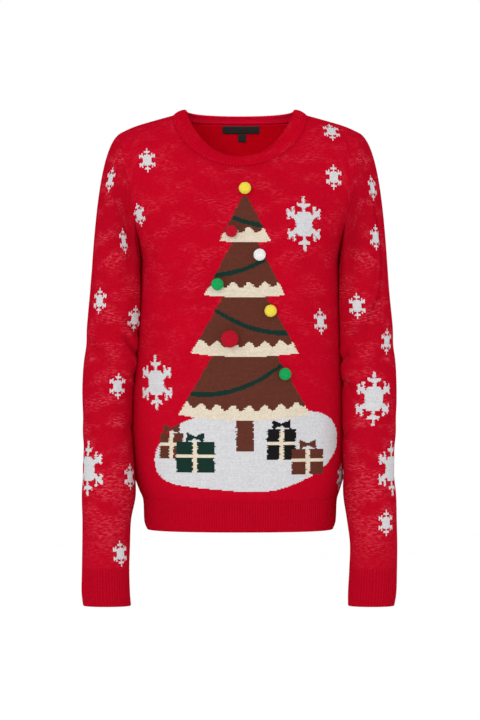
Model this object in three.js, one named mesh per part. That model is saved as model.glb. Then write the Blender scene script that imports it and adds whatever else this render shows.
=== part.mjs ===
// A long-sleeved knitted winter sweater with a ribbed crew neck, ribbed cuffs and a ribbed hem,
// filled out as it is when worn, with nobody in it. Seven round pompoms are sewn on the front.
// Millimetres, +Z up. The wearer faces -Y, so the wearer's left is +X. The origin is at the base of
// the neck, midway between the shoulder seams, where the wearer's shoulders carry the garment.
import * as THREE from "three";

// Cloth and seams
const CLOTH = 2.4;
const COLLAR_CLOTH = 3.2;
const SEAM_GAP = 0.3;
const RIB_PITCH = 3.65;
const RIB_DEPTH = 0.8;
const ROUNDNESS = 2.4; // exponent of the body's oval sections: 2 is an ellipse, more is squarer

// Heights
const HEM_Z = -597;
const HEM_RIB_TOP_Z = -553;
const UNDERARM_Z = -208;
const BICEPS_Z = -265;
const CUFF_RIB_TOP_Z = -652;
const CUFF_Z = -704;
const RIB_FADE = 5; // height over which the ribs die out into the plain knit

// Shoulders, armholes and neckline
const SHOULDER_PEAK_Z = 34.1; // where the two shoulder lines would cross above the neck
const SHOULDER_SLOPE = 0.3;
const SHOULDER_CURVE = 45; // how softly the line turns over above the neck
const SHOULDER_END = { from: 140, drop: 4.3 }; // how it falls away at its outer end
const SHOULDER_DROP = 150; // depth below the shoulder line at which the body is full
const NECK_HALF_WIDTH = 97;
const SHOULDER_HALF_WIDTH = 174;
const UNDERARM_HALF_WIDTH = 144;
const NECKLINE = {
  front: { drop: 78.5, across: 1.9, down: 1.9 },
  back: { drop: 8, across: 4, down: 2 },
}; // how far each neckline dips, and the exponents of its curve

// How finely the cloth is divided
const NECK_COLUMNS = 8; // from the middle of the neckline to its corner
const SHOULDER_COLUMNS = 6; // from that corner to the armhole
const NECK_COLUMN = 0.44; // share of the columns' way to the armhole that the neckline takes
const ARMHOLE_CURVE = 1.2;
const LOWER_ROWS = 12; // from the hem's rib up to the underarm
const UPPER_ROWS = 10; // from the underarm up to the shoulder
const CAP_RINGS = 7; // from the armhole down to the biceps
const ARM_RINGS = 13; // from the biceps down to the cuff's rib

// The body's half widths and depths, from the hem up. Above the underarm the half width is that of
// the oval which the front and back lie on, out past the armholes.
const BODY = [
  { z: -597, right: 134.5, left: 134.5, front: 92, back: 90 },
  { z: -586, right: 138.5, left: 138.5, front: 95, back: 93 },
  { z: -553, right: 140.5, left: 140.5, front: 99, back: 97 },
  { z: -540, right: 146, left: 144.5, front: 104, back: 101 },
  { z: -520, right: 153, left: 150, front: 107, back: 104 },
  { z: -490, right: 158, left: 152.5, front: 108, back: 105 },
  { z: -450, right: 161.5, left: 153.5, front: 108, back: 103 },
  { z: -400, right: 160, left: 152.5, front: 109, back: 99 },
  { z: -350, right: 155, left: 150.5, front: 111, back: 97 },
  { z: -300, right: 150, left: 148.5, front: 114, back: 99 },
  { z: -260, right: 147, left: 146.5, front: 115, back: 103 },
  { z: -232, right: 145, left: 145, front: 114, back: 105 },
  { z: -208, right: 144, left: 144, front: 112, back: 107 },
  { z: -190, right: 147.5, left: 147.5, front: 110, back: 108 },
  { z: -170, right: 153, left: 153, front: 107, back: 108 },
  { z: -145, right: 164, left: 164, front: 103, back: 107.5 },
  { z: -116, right: 180, left: 180, front: 97, back: 106 },
  { z: -88, right: 208, left: 208, front: 89, back: 103 },
  { z: -62, right: 240, left: 240, front: 86, back: 101 },
  { z: -41, right: 268, left: 268, front: 84.5, back: 100 },
  { z: -24, right: 290, left: 290, front: 84, back: 100 },
  { z: 31, right: 330, left: 330, front: 84, back: 100 },
];

// Each sleeve's sections below the biceps: how far its outer and inner sides are from the middle of
// the body, how far forward its middle is, and half its depth.
const SLEEVE_RIGHT = [
  { z: -265, outer: 217.5, inner: 134, forward: 12, depth: 52 },
  { z: -309, outer: 221.5, inner: 137, forward: 17, depth: 50 },
  { z: -357, outer: 225.4, inner: 141, forward: 23, depth: 48 },
  { z: -389, outer: 226.9, inner: 147, forward: 28, depth: 46.5 },
  { z: -422, outer: 226.9, inner: 152, forward: 32, depth: 45 },
  { z: -468, outer: 226.4, inner: 152.5, forward: 37, depth: 43 },
  { z: -512, outer: 225.4, inner: 150.5, forward: 41, depth: 41 },
  { z: -547, outer: 226.9, inner: 149.6, forward: 43.5, depth: 39.5 },
  { z: -581, outer: 225.9, inner: 156, forward: 45.5, depth: 37.5 },
  { z: -616, outer: 226, inner: 157.5, forward: 47, depth: 35.5 },
  { z: -652, outer: 226.5, inner: 158.5, forward: 48, depth: 31 },
  { z: -686, outer: 226.9, inner: 157.5, forward: 49, depth: 28.5 },
  { z: -704, outer: 224.7, inner: 156, forward: 49, depth: 27 },
];
const SLEEVE_LEFT = [
  { z: -265, outer: 216.8, inner: 133, forward: 12, depth: 52 },
  { z: -309, outer: 221, inner: 135, forward: 17, depth: 50 },
  { z: -357, outer: 224.4, inner: 137.5, forward: 23, depth: 48 },
  { z: -389, outer: 225.4, inner: 140.5, forward: 28, depth: 46.5 },
  { z: -422, outer: 225.4, inner: 143.5, forward: 32, depth: 45 },
  { z: -468, outer: 224.2, inner: 145.5, forward: 37, depth: 43 },
  { z: -512, outer: 221, inner: 147.5, forward: 41, depth: 41 },
  { z: -547, outer: 224, inner: 148.1, forward: 43.5, depth: 39.5 },
  { z: -581, outer: 224.7, inner: 153.2, forward: 45.5, depth: 37.5 },
  { z: -616, outer: 225.4, inner: 157.5, forward: 47, depth: 35.5 },
  { z: -652, outer: 225, inner: 156.5, forward: 48, depth: 31 },
  { z: -686, outer: 224, inner: 154.6, forward: 49, depth: 28.5 },
  { z: -704, outer: 221, inner: 154.6, forward: 49, depth: 27 },
];
const SLEEVE_CLEARANCE = 2; // between a sleeve and the side of the body that it lies against
const SLEEVE_SOFTNESS = 1.6; // how softly the sleeve turns where it meets the body
const SLEEVE_SECTION = 0.92; // exponent of its sections: 1 is an ellipse, less is squarer
const CREASE = { front: [-0.3, -0.3, -1], back: [0.15, 0.2, -1] }; // how the sleeve leaves the underarm
const CREASE_CLIMB = 0.55; // how far up the armhole that crease dies out
const CREASE_LIFT = 0.8; // how far the edge that starts in the crease stands out from the body
// How far a sleeve's cloth keeps its way at the armhole and at the biceps, at the underarm and on top
const CAP_REACH = { underarm: 45, top: 120, softness: 1.5 };
const CAP_LANDING = { underarm: 60, top: 165 };
const SLEEVE_PUSHED_BELOW = 0.6; // climb below which the body pushes the cap aside

// The largest soft folds of the body: middle, half length, half width and depth of each trough, and
// how far it leans from upright, in degrees.
const FRONT_FOLDS = [
  { x: 94, z: -470, long: 55, wide: 20, deep: 3, lean: -8 },
  { x: -108, z: -430, long: 70, wide: 22, deep: 3, lean: 10 },
  { x: 118, z: -250, long: 60, wide: 20, deep: 3.5, lean: 28 },
  { x: -116, z: -262, long: 55, wide: 20, deep: 3.5, lean: -28 },
];
const BACK_FOLDS = [
  { x: 70, z: -450, long: 75, wide: 24, deep: 4, lean: 8 },
  { x: -62, z: -470, long: 65, wide: 22, deep: 3.5, lean: -10 },
  { x: 112, z: -240, long: 60, wide: 20, deep: 3.5, lean: 30 },
  { x: -114, z: -248, long: 60, wide: 20, deep: 3.5, lean: -30 },
];

// The largest folds of a sleeve: how far round it (0 outside, 90 front, 180 inside), height, half
// length round the sleeve, half width, depth, and how much it drops as it goes round.
const SLEEVE_FOLDS = [
  { round: 55, z: -352, long: 55, wide: 17, deep: 3, drop: -0.5 },
  { round: 120, z: -405, long: 50, wide: 16, deep: 3, drop: 0.35 },
  { round: 40, z: -468, long: 45, wide: 16, deep: 2.5, drop: 0.3 },
  { round: 250, z: -392, long: 55, wide: 18, deep: 3.5, drop: -0.3 },
  { round: 290, z: -455, long: 50, wide: 17, deep: 3, drop: 0.3 },
];

// The collar's free edge
const COLLAR_HALF_WIDTH = 78;
const COLLAR_FRONT = { y: -66, z: -61 };
const COLLAR_BACK = { y: 49, z: 6 };
const COLLAR_SIDE_Z = 11;
const COLLAR_BULGE = 2.2;
const COLLAR_BANDS = 24; // plain facets round the inside of the collar
const COLLAR_LEVELS = [0, 0.5, 0.94]; // ribbed rings, as shares of the way from the seam to the edge
const COLLAR_CURVE = { across: 0.9, along: 0.95, front: 1.6, back: 0.7 }; // exponents of that edge

// Pompoms: middle on the front, and radius
const SMALL_POMPOM = 8.6;
const LARGE_POMPOM = 12.4;
const POMPOMS = [
  { name: "pompom_yellow_top", x: 7, z: -112, radius: SMALL_POMPOM, colour: 0xecd84e },
  { name: "pompom_red_small", x: -12, z: -172, radius: SMALL_POMPOM, colour: 0xc31832 },
  { name: "pompom_white", x: 27, z: -205, radius: SMALL_POMPOM, colour: 0xefefec },
  { name: "pompom_green_upper", x: -31, z: -246, radius: SMALL_POMPOM, colour: 0x1fae5b },
  { name: "pompom_yellow_lower", x: 42, z: -283, radius: SMALL_POMPOM, colour: 0xecd84e },
  { name: "pompom_red_large", x: -14, z: -322, radius: LARGE_POMPOM, colour: 0xc31832 },
  { name: "pompom_green_lower", x: 62, z: -372, radius: SMALL_POMPOM, colour: 0x1fae5b },
];
const POMPOM_FLATTEN = 0.92; // depth over width

// The plain woven labels inside the back of the neck
const LABEL = { x: 1.5, top: -7.5, width: 55, height: 11, thick: 1 };
const SIZE_TAB = { x: 3.2, top: -19, width: 12, height: 11.5, thick: 0.9 };
const LABEL_GAP = 0.9;

const KNIT_RED = 0xb60b22;
const LABEL_BLACK = 0x26211f;

const radians = THREE.MathUtils.degToRad;
const vector = (x, y, z) => new THREE.Vector3(x, y, z);

// A column of a table at height z, as one smooth curve through the table's rows.
function smooth(table, column, z) {
  const rising = table[0].z < table[1].z ? table : [...table].reverse();
  const last = rising.length - 1;
  const at = THREE.MathUtils.clamp(z, rising[0].z, rising[last].z);
  let i = 0;
  while (i < last - 1 && rising[i + 1].z < at) i++;
  const slope = (k) => {
    const low = rising[Math.max(k - 1, 0)];
    const high = rising[Math.min(k + 1, last)];
    return (high[column] - low[column]) / (high.z - low.z);
  };
  const span = rising[i + 1].z - rising[i].z;
  const t = (at - rising[i].z) / span;
  return (
    (2 * t ** 3 - 3 * t ** 2 + 1) * rising[i][column] +
    (t ** 3 - 2 * t ** 2 + t) * span * slope(i) +
    (3 * t ** 2 - 2 * t ** 3) * rising[i + 1][column] +
    (t ** 3 - t ** 2) * span * slope(i + 1)
  );
}

function shoulderLine(x) {
  const { from, drop } = SHOULDER_END;
  const end = Math.max(Math.abs(x) - from, 0) / (SHOULDER_HALF_WIDTH - from);
  return SHOULDER_PEAK_Z - SHOULDER_SLOPE * Math.hypot(x, SHOULDER_CURVE) - drop * end ** 2;
}
const NECK_SIDE_Z = shoulderLine(NECK_HALF_WIDTH);
const SHOULDER_Z = shoulderLine(SHOULDER_HALF_WIDTH);
const halfWidth = (x, z) => smooth(BODY, x < 0 ? "right" : "left", z);
const sleeveHalfWidth = (table, z) => (smooth(table, "outer", z) - smooth(table, "inner", z)) / 2;

// How deep all the soft folds are at a point of the front or back.
function foldDepth(folds, x, z) {
  let depth = 0;
  for (const fold of folds) {
    const lean = radians(fold.lean);
    const across = (x - fold.x) * Math.cos(lean) + (z - fold.z) * Math.sin(lean);
    const along = (z - fold.z) * Math.cos(lean) - (x - fold.x) * Math.sin(lean);
    depth += fold.deep * Math.exp(-((across / fold.wide) ** 2) - (along / fold.long) ** 4);
  }
  return depth;
}

// The front (side "front") or back of the body at x, z: its depth falls to nothing at the side
// seams, where the oval ends, and at the shoulder line.
function bodyPoint(side, x, z) {
  const share = Math.min(Math.abs(x) / halfWidth(x, z), 1);
  const oval = (1 - share ** ROUNDNESS) ** (1 / ROUNDNESS);
  const below = Math.min(Math.max(shoulderLine(x) - z, 0) / SHOULDER_DROP, 1);
  const shoulder = Math.sqrt(1 - (1 - below) ** 2);
  const folds = side === "front" ? FRONT_FOLDS : BACK_FOLDS;
  const full = smooth(BODY, side, z) - foldDepth(folds, x, z);
  const out = SEAM_GAP / 2 + (full - SEAM_GAP / 2) * oval * shoulder;
  return vector(x, side === "front" ? -out : out, z);
}

// The armhole's edge seen from the front: climb is 0 at the underarm and 1 at the shoulder.
function armhole(climb) {
  const { lerp } = THREE.MathUtils;
  return {
    x: lerp(UNDERARM_HALF_WIDTH, SHOULDER_HALF_WIDTH, climb ** ARMHOLE_CURVE),
    z: lerp(UNDERARM_Z, SHOULDER_Z, climb),
  };
}

// The neckline's points from its middle to its corner, evenly spaced along it, as x and z.
function necklineHalf(side) {
  const { drop, across, down } = NECKLINE[side];
  const fine = Array.from({ length: 241 }, (_, i) => {
    const angle = (Math.PI / 2) * (i / 240);
    const x = NECK_HALF_WIDTH * Math.sin(angle) ** (2 / across);
    return bodyPoint(side, x, NECK_SIDE_Z - drop * Math.max(Math.cos(angle), 0) ** (2 / down));
  });
  const along = [0];
  for (let i = 1; i < fine.length; i++) along.push(along[i - 1] + fine[i].distanceTo(fine[i - 1]));
  const total = along[along.length - 1];
  return Array.from({ length: NECK_COLUMNS + 1 }, (_, column) => {
    const k = along.findIndex((length) => length >= (total * column) / NECK_COLUMNS - 1e-9);
    return column === NECK_COLUMNS ? { x: NECK_HALF_WIDTH, z: NECK_SIDE_Z } : fine[k];
  });
}
const NECK_POINTS = { front: necklineHalf("front"), back: necklineHalf("back") };

// The columns of a panel, from one side seam to the other. Each has its share of the half width at
// the underarm, and a point on the top edge: on the neckline, or on the shoulder out past it.
const ovalShare = (s) => Math.sin((Math.PI / 2) * Math.abs(s)) ** (2 / ROUNDNESS) * Math.sign(s);
function panelColumns(side) {
  const half = [];
  for (let i = 1; i <= NECK_COLUMNS; i++) {
    const share = ovalShare((NECK_COLUMN * i) / NECK_COLUMNS);
    half.push({ share, topX: NECK_POINTS[side][i].x, topZ: NECK_POINTS[side][i].z });
  }
  for (let i = 1; i <= SHOULDER_COLUMNS; i++) {
    const way = i / SHOULDER_COLUMNS;
    const topX = THREE.MathUtils.lerp(NECK_HALF_WIDTH, SHOULDER_HALF_WIDTH, Math.sin((Math.PI / 2) * way));
    half.push({
      share: ovalShare(NECK_COLUMN + (1 - NECK_COLUMN) * way),
      topX,
      topZ: shoulderLine(topX),
    });
  }
  const middle = { share: 0, topX: 0, topZ: NECK_POINTS[side][0].z };
  const mirrored = half.map(({ share, topX, topZ }) => ({ share: -share, topX: -topX, topZ }));
  return [...mirrored.reverse(), middle, ...half];
}
const climbAt = (row) => (1 - Math.cos((Math.PI * row) / UPPER_ROWS)) / 2;

// A point of a panel below the underarm, by column and height.
function lowerPoint(side, column, z) {
  return bodyPoint(side, column.share * halfWidth(column.share, z), z);
}

// A point of a panel above the underarm, by column and climb.
function upperPoint(side, column, climb) {
  const { lerp } = THREE.MathUtils;
  const x = lerp(UNDERARM_HALF_WIDTH * column.share, column.topX, climb ** ARMHOLE_CURVE);
  return bodyPoint(side, x, lerp(UNDERARM_Z, column.topZ, climb));
}

// The unit normal of the body's front or back at x, z, pointing out of the body.
function bodyNormal(side, point) {
  const step = 1.5;
  const inward = point.x > 0 ? -step : step;
  const here = bodyPoint(side, point.x, point.z);
  const across = bodyPoint(side, point.x + inward, point.z).sub(here);
  const down = bodyPoint(side, point.x, point.z - step).sub(here);
  const normal = across.cross(down).normalize();
  const outward = side === "front" ? normal.y > 0 : normal.y < 0;
  return outward ? normal.negate() : normal;
}

// A closed wall of cloth. Rows of points run along its outside and, in the same order, along its
// inside; u says how far along its row each point is, so rows of different lengths can be joined.
function wallGeometry(outerRows, innerRows, closed) {
  const points = [];
  const triangles = [];
  const rows = [...outerRows, ...[...innerRows].reverse()].map(({ points: row, u }) => {
    const first = points.length;
    points.push(...row);
    const ids = row.map((_, i) => first + i);
    return closed ? { ids: [...ids, first], u: [...u, 1] } : { ids, u };
  });
  const join = (low, high) => {
    let i = 0;
    let j = 0;
    while (i < low.ids.length - 1 || j < high.ids.length - 1) {
      const nextLow = i < low.ids.length - 1 ? low.u[i + 1] : Infinity;
      const nextHigh = j < high.ids.length - 1 ? high.u[j + 1] : Infinity;
      if (nextLow <= nextHigh + 1e-9) {
        triangles.push([low.ids[i], low.ids[i + 1], high.ids[j]]);
        i++;
      } else {
        triangles.push([low.ids[i], high.ids[j + 1], high.ids[j]]);
        j++;
      }
    }
  };
  rows.forEach((row, k) => join(row, rows[(k + 1) % rows.length]));
  if (!closed) {
    const last = rows.length - 1;
    for (let k = 0; k < outerRows.length - 1; k++) {
      const [low, high, lowIn, highIn] = [rows[k], rows[k + 1], rows[last - k], rows[last - k - 1]];
      const start = [low, high, lowIn, highIn].map((row) => row.ids[0]);
      const end = [low, high, lowIn, highIn].map((row) => row.ids[row.ids.length - 1]);
      triangles.push([start[0], start[1], start[3]], [start[0], start[3], start[2]]);
      triangles.push([end[1], end[0], end[2]], [end[1], end[2], end[3]]);
    }
  }
  return facingOut(points, triangles);
}

// A geometry of these triangles, turned so that they face out of the solid.
function facingOut(points, triangles) {
  const volume = triangles.reduce(
    (sum, [a, b, c]) => sum + points[a].dot(vector(0, 0, 0).crossVectors(points[b], points[c])),
    0,
  );
  const index = triangles.flatMap(([a, b, c]) => (volume > 0 ? [a, b, c] : [a, c, b]));
  const geometry = new THREE.BufferGeometry().setFromPoints(points);
  geometry.setIndex(index);
  geometry.computeVertexNormals();
  return geometry;
}

// Columns of a ribbed row: u of each crest and valley in turn.
function ribColumns(length, closed) {
  const steps = 2 * Math.round(length / RIB_PITCH);
  return Array.from({ length: closed ? steps : steps + 1 }, (_, i) => i / steps);
}

// The front or the back, with its ribbed hem, as one closed wall.
function panelGeometry(side) {
  const columns = panelColumns(side);
  const along = [0];
  columns.slice(1).forEach((column, i) => {
    const step = lowerPoint(side, column, BODY[1].z).distanceTo(lowerPoint(side, columns[i], BODY[1].z));
    along.push(along[i] + step);
  });
  const hemLength = along[along.length - 1];
  const plainU = along.map((length) => length / hemLength);
  const columnAt = (u) => {
    const k = Math.max(plainU.findIndex((here) => here >= u - 1e-9), 1) - 1;
    const way = (u - plainU[k]) / (plainU[k + 1] - plainU[k]);
    const between = (key) => THREE.MathUtils.lerp(columns[k][key], columns[k + 1][key], way);
    return { share: between("share"), topX: between("topX"), topZ: between("topZ") };
  };
  const inwards = (point, flatten) => {
    const normal = bodyNormal(side, point);
    if (flatten) normal.setZ(0).normalize();
    return normal.multiplyScalar(-1);
  };
  const ribU = ribColumns(hemLength, false);
  const outer = [];
  const inner = [];
  const addRow = (place, ribbed, flatten, onEdge) => {
    const outside = (u, valley) => {
      const point = place(columnAt(u));
      const normal = inwards(point, flatten);
      if (onEdge || u === 0 || u === 1) normal.setY(0).normalize();
      return point.addScaledVector(normal, valley);
    };
    const inside = (u) => {
      const point = place(columnAt(u));
      const normal = inwards(point, flatten);
      const shoulderRow = onEdge && Math.abs(point.x) > NECK_HALF_WIDTH - 0.01;
      if (shoulderRow || u === 0 || u === 1) normal.setY(0).normalize();
      return point.addScaledVector(normal, CLOTH);
    };
    const outerU = ribbed ? ribU : plainU;
    outer.push({ points: outerU.map((u, i) => outside(u, ribbed && i % 2 ? RIB_DEPTH : 0)), u: outerU });
    inner.push({ points: plainU.map(inside), u: plainU });
  };
  for (const z of [HEM_Z, BODY[1].z, HEM_RIB_TOP_Z])
    addRow((s) => lowerPoint(side, s, z), true, z === HEM_Z, false);
  for (let row = 0; row < LOWER_ROWS; row++) {
    const low = HEM_RIB_TOP_Z + RIB_FADE;
    const z = low + ((UNDERARM_Z - low) * row) / LOWER_ROWS;
    addRow((s) => lowerPoint(side, s, z), false, false, false);
  }
  for (let row = 0; row <= UPPER_ROWS; row++)
    addRow((s) => upperPoint(side, s, climbAt(row)), false, false, row === UPPER_ROWS);
  return wallGeometry(outer, inner, false);
}

// How deep a sleeve's folds are, by the way round it and the height.
function sleeveFoldDepth(round, z, girth) {
  let depth = 0;
  for (const fold of SLEEVE_FOLDS) {
    const along = ((((round - fold.round + 540) % 360) - 180) / 360) * girth;
    const across = z - fold.z - fold.drop * along;
    depth += fold.deep * Math.exp(-((across / fold.wide) ** 2) - (along / fold.long) ** 2);
  }
  return depth;
}

// A point of an arm below the biceps. round is in degrees: 0 outside, 90 front, 180 inside, 270 back.
function armPoint(sign, table, round, z) {
  const outer = smooth(table, "outer", z);
  const inner = smooth(table, "inner", z);
  const depth = smooth(table, "depth", z);
  const middle = (outer + inner) / 2;
  const width = (outer - inner) / 2;
  const fold = sleeveFoldDepth(round, z, Math.PI * (width + depth));
  const cos = Math.cos(radians(round));
  const sin = Math.sin(radians(round));
  const bend = (value) => Math.sign(value) * Math.abs(value) ** SLEEVE_SECTION;
  const x = middle + (width - fold) * bend(cos);
  const y = -smooth(table, "forward", z) - (depth - fold) * bend(sin);
  return besideBody(sign, vector(sign * x, y, z), 1);
}

// A point of a sleeve, pushed sideways where the body is in its way. away goes from 0 at the armhole
// to 1 where the sleeve is its full distance off.
function besideBody(sign, point, away) {
  const { y, z } = point;
  const deep = Math.abs(y) / smooth(BODY, y < 0 ? "front" : "back", z);
  if (deep >= 1 || z < HEM_Z) return point;
  const body = halfWidth(sign, z) * (1 - deep ** ROUNDNESS) ** (1 / ROUNDNESS);
  const least = body + SLEEVE_CLEARANCE * away;
  const softness = SLEEVE_SOFTNESS * away;
  const over = (least - point.x * sign) / softness;
  const pushed = over > 20 ? least : point.x * sign + softness * Math.log1p(Math.exp(over));
  return vector(sign * pushed, y, z);
}

// The armhole's points in order round it: from the shoulder down the front to the underarm, and up
// the back.
function armholeLoop() {
  const loop = [];
  for (let row = UPPER_ROWS; row >= 0; row--) loop.push({ side: "front", climb: climbAt(row) });
  for (let row = 1; row < UPPER_ROWS; row++) loop.push({ side: "back", climb: climbAt(row) });
  return loop;
}

// How a sleeve starts at a point of the armhole: the way clear of the body's edge, and the way in
// which its cloth leaves. It follows the body over the shoulder, and near the underarm it turns down
// beside the body in a crease.
function capStart(side, sign, climb, point) {
  const atTop = climb > 0.999;
  const normal = bodyNormal(side, point);
  if (atTop || climb < 0.001) normal.setY(0).normalize();
  const edgeAt = (share) => {
    const edge = armhole(THREE.MathUtils.clamp(share, 0, 1));
    return bodyPoint(side, sign * edge.x, edge.z);
  };
  const along = edgeAt(climb + 0.01).sub(edgeAt(climb - 0.01)).normalize();
  if (atTop || climb < 0.001) along.set(0, 1, 0);
  const across = along.cross(normal).normalize();
  if (across.x * sign + across.z * (atTop ? 0 : 0.5) < 0) across.negate();
  const under = THREE.MathUtils.smoothstep(CREASE_CLIMB - climb, 0, CREASE_CLIMB - 0.1);
  const [out, ahead, down] = CREASE[side];
  const crease = vector(sign * out, ahead * Math.min(climb / 0.2, 1), down).normalize();
  return {
    clear: across.clone().addScaledVector(normal, CREASE_LIFT * under).normalize(),
    leave: across.lerp(crease, under).normalize(),
  };
}

// A sleeve with its ribbed cuff, as one closed wall.
function sleeveGeometry(sign, table) {
  const loop = armholeLoop();
  const count = loop.length;
  const plainU = loop.map((_, i) => i / count);
  const starts = loop.map(({ side, climb }) => {
    const edge = armhole(climb);
    const point = bodyPoint(side, sign * edge.x, edge.z);
    if (climb > 0.999 || climb < 0.001) point.y = 0;
    const start = capStart(side, sign, climb, point);
    const { lerp } = THREE.MathUtils;
    const reach = lerp(CAP_REACH.underarm, CAP_REACH.top, climb ** CAP_REACH.softness);
    const land = lerp(CAP_LANDING.top, CAP_LANDING.underarm, (1 - climb) ** 2);
    return { point, ...start, reach, land };
  });
  const capPoint = (k, t) => {
    const { point, clear, leave, reach, land } = starts[k];
    const end = armPoint(sign, table, 360 * plainU[k], BICEPS_Z);
    const next = armPoint(sign, table, 360 * plainU[k], BICEPS_Z - 6);
    const down = next.sub(end).normalize();
    const cap = point
      .clone()
      .addScaledVector(clear, SEAM_GAP * 1.25)
      .multiplyScalar(2 * t ** 3 - 3 * t ** 2 + 1)
      .addScaledVector(leave, reach * (t ** 3 - 2 * t ** 2 + t))
      .addScaledVector(end, 3 * t ** 2 - 2 * t ** 3)
      .addScaledVector(down, land * (t ** 3 - t ** 2));
    const pushed = t > 0 && loop[k].climb < SLEEVE_PUSHED_BELOW;
    return pushed ? besideBody(sign, cap, Math.min(0.4 + 2 * t, 1)) : cap;
  };
  const armAt = (u, z) => armPoint(sign, table, 360 * u, z);
  const rings = [];
  for (let ring = 0; ring < CAP_RINGS; ring++) {
    const t = ring / CAP_RINGS;
    rings.push({
      outside: plainU.map((_, k) => capPoint(k, t)),
      ahead: plainU.map((_, k) => capPoint(k, t + 0.01)),
    });
  }
  const plainEnd = CUFF_RIB_TOP_Z + RIB_FADE;
  for (let ring = 0; ring <= ARM_RINGS; ring++) {
    const z = BICEPS_Z + ((plainEnd - BICEPS_Z) * ring) / ARM_RINGS;
    rings.push({ outside: plainU.map((u) => armAt(u, z)), ahead: plainU.map((u) => armAt(u, z - 2)) });
  }
  for (const z of [CUFF_RIB_TOP_Z, (CUFF_RIB_TOP_Z + CUFF_Z) / 2, CUFF_Z])
    rings.push({
      ribbedAt: z,
      outside: plainU.map((u) => armAt(u, z)),
      ahead: plainU.map((u) => armAt(u, z).setZ(z - 2)),
    });
  const middleOf = (points) =>
    points.reduce((sum, point) => sum.add(point), vector(0, 0, 0)).divideScalar(points.length);
  const inwardsOf = (before, here, after, ahead, middle) => {
    const normal = after.clone().sub(before).cross(ahead.clone().sub(here)).normalize();
    return normal.dot(middle.clone().sub(here)) < 0 ? normal.negate() : normal;
  };
  const cuffGirth = Math.PI * 1.03 * (sleeveHalfWidth(table, CUFF_Z) + smooth(table, "depth", CUFF_Z));
  const ribU = ribColumns(cuffGirth, true);
  const outer = [];
  const inner = [];
  for (const { outside, ahead, ribbedAt } of rings) {
    const middle = middleOf(outside);
    const inwards = outside.map((here, k) =>
      inwardsOf(outside[(k + count - 1) % count], here, outside[(k + 1) % count], ahead[k], middle),
    );
    inner.push({ points: outside.map((p, k) => p.clone().addScaledVector(inwards[k], CLOTH)), u: plainU });
    if (ribbedAt === undefined) {
      outer.push({ points: outside, u: plainU });
      continue;
    }
    const ribbed = ribU.map((u, i) => {
      const point = armAt(u, ribbedAt);
      const towards = middle.clone().sub(point).setZ(0).normalize();
      return point.addScaledVector(towards, i % 2 ? RIB_DEPTH : 0);
    });
    outer.push({ points: ribbed, u: ribU });
  }
  return wallGeometry(outer, inner, true);
}

// The neckline's points round the neck, from the middle of the front towards the wearer's left: the
// outer point of the panel's edge, the way through its cloth, and the way clear of that edge.
function necklineLoop() {
  const quarter = (side, sign) =>
    NECK_POINTS[side].map(({ x, z }, column) => {
      const outside = bodyPoint(side, sign * x, z);
      const inwards = bodyNormal(side, outside).negate();
      if (column === NECK_COLUMNS) {
        outside.y = 0;
        inwards.setY(0).normalize();
      }
      return { outside, inwards };
    });
  const loop = [
    ...quarter("front", 1),
    ...quarter("back", 1).slice(0, -1).reverse(),
    ...quarter("back", -1).slice(1),
    ...quarter("front", -1).slice(1, -1).reverse(),
  ];
  return loop.map(({ outside, inwards }, k) => {
    const before = loop[(k + loop.length - 1) % loop.length].outside;
    const after = loop[(k + 1) % loop.length].outside;
    const clear = after.clone().sub(before).cross(inwards).normalize();
    if (clear.dot(vector(-outside.x, -outside.y, 60)) < 0) clear.negate();
    return { outside, inwards, clear };
  });
}

// The collar's free edge, by the way round the neck: 0 front, 0.25 the wearer's left, 0.5 back.
function collarEdge(u) {
  const angle = 2 * Math.PI * u;
  const towardsFront = Math.cos(angle);
  const end = towardsFront > 0 ? COLLAR_FRONT : COLLAR_BACK;
  const amount = Math.abs(towardsFront);
  const { across, along, front, back } = COLLAR_CURVE;
  return vector(
    COLLAR_HALF_WIDTH * Math.sign(Math.sin(angle)) * Math.abs(Math.sin(angle)) ** across,
    end.y * amount ** along,
    COLLAR_SIDE_Z + (end.z - COLLAR_SIDE_Z) * amount ** (towardsFront > 0 ? front : back),
  );
}

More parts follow.
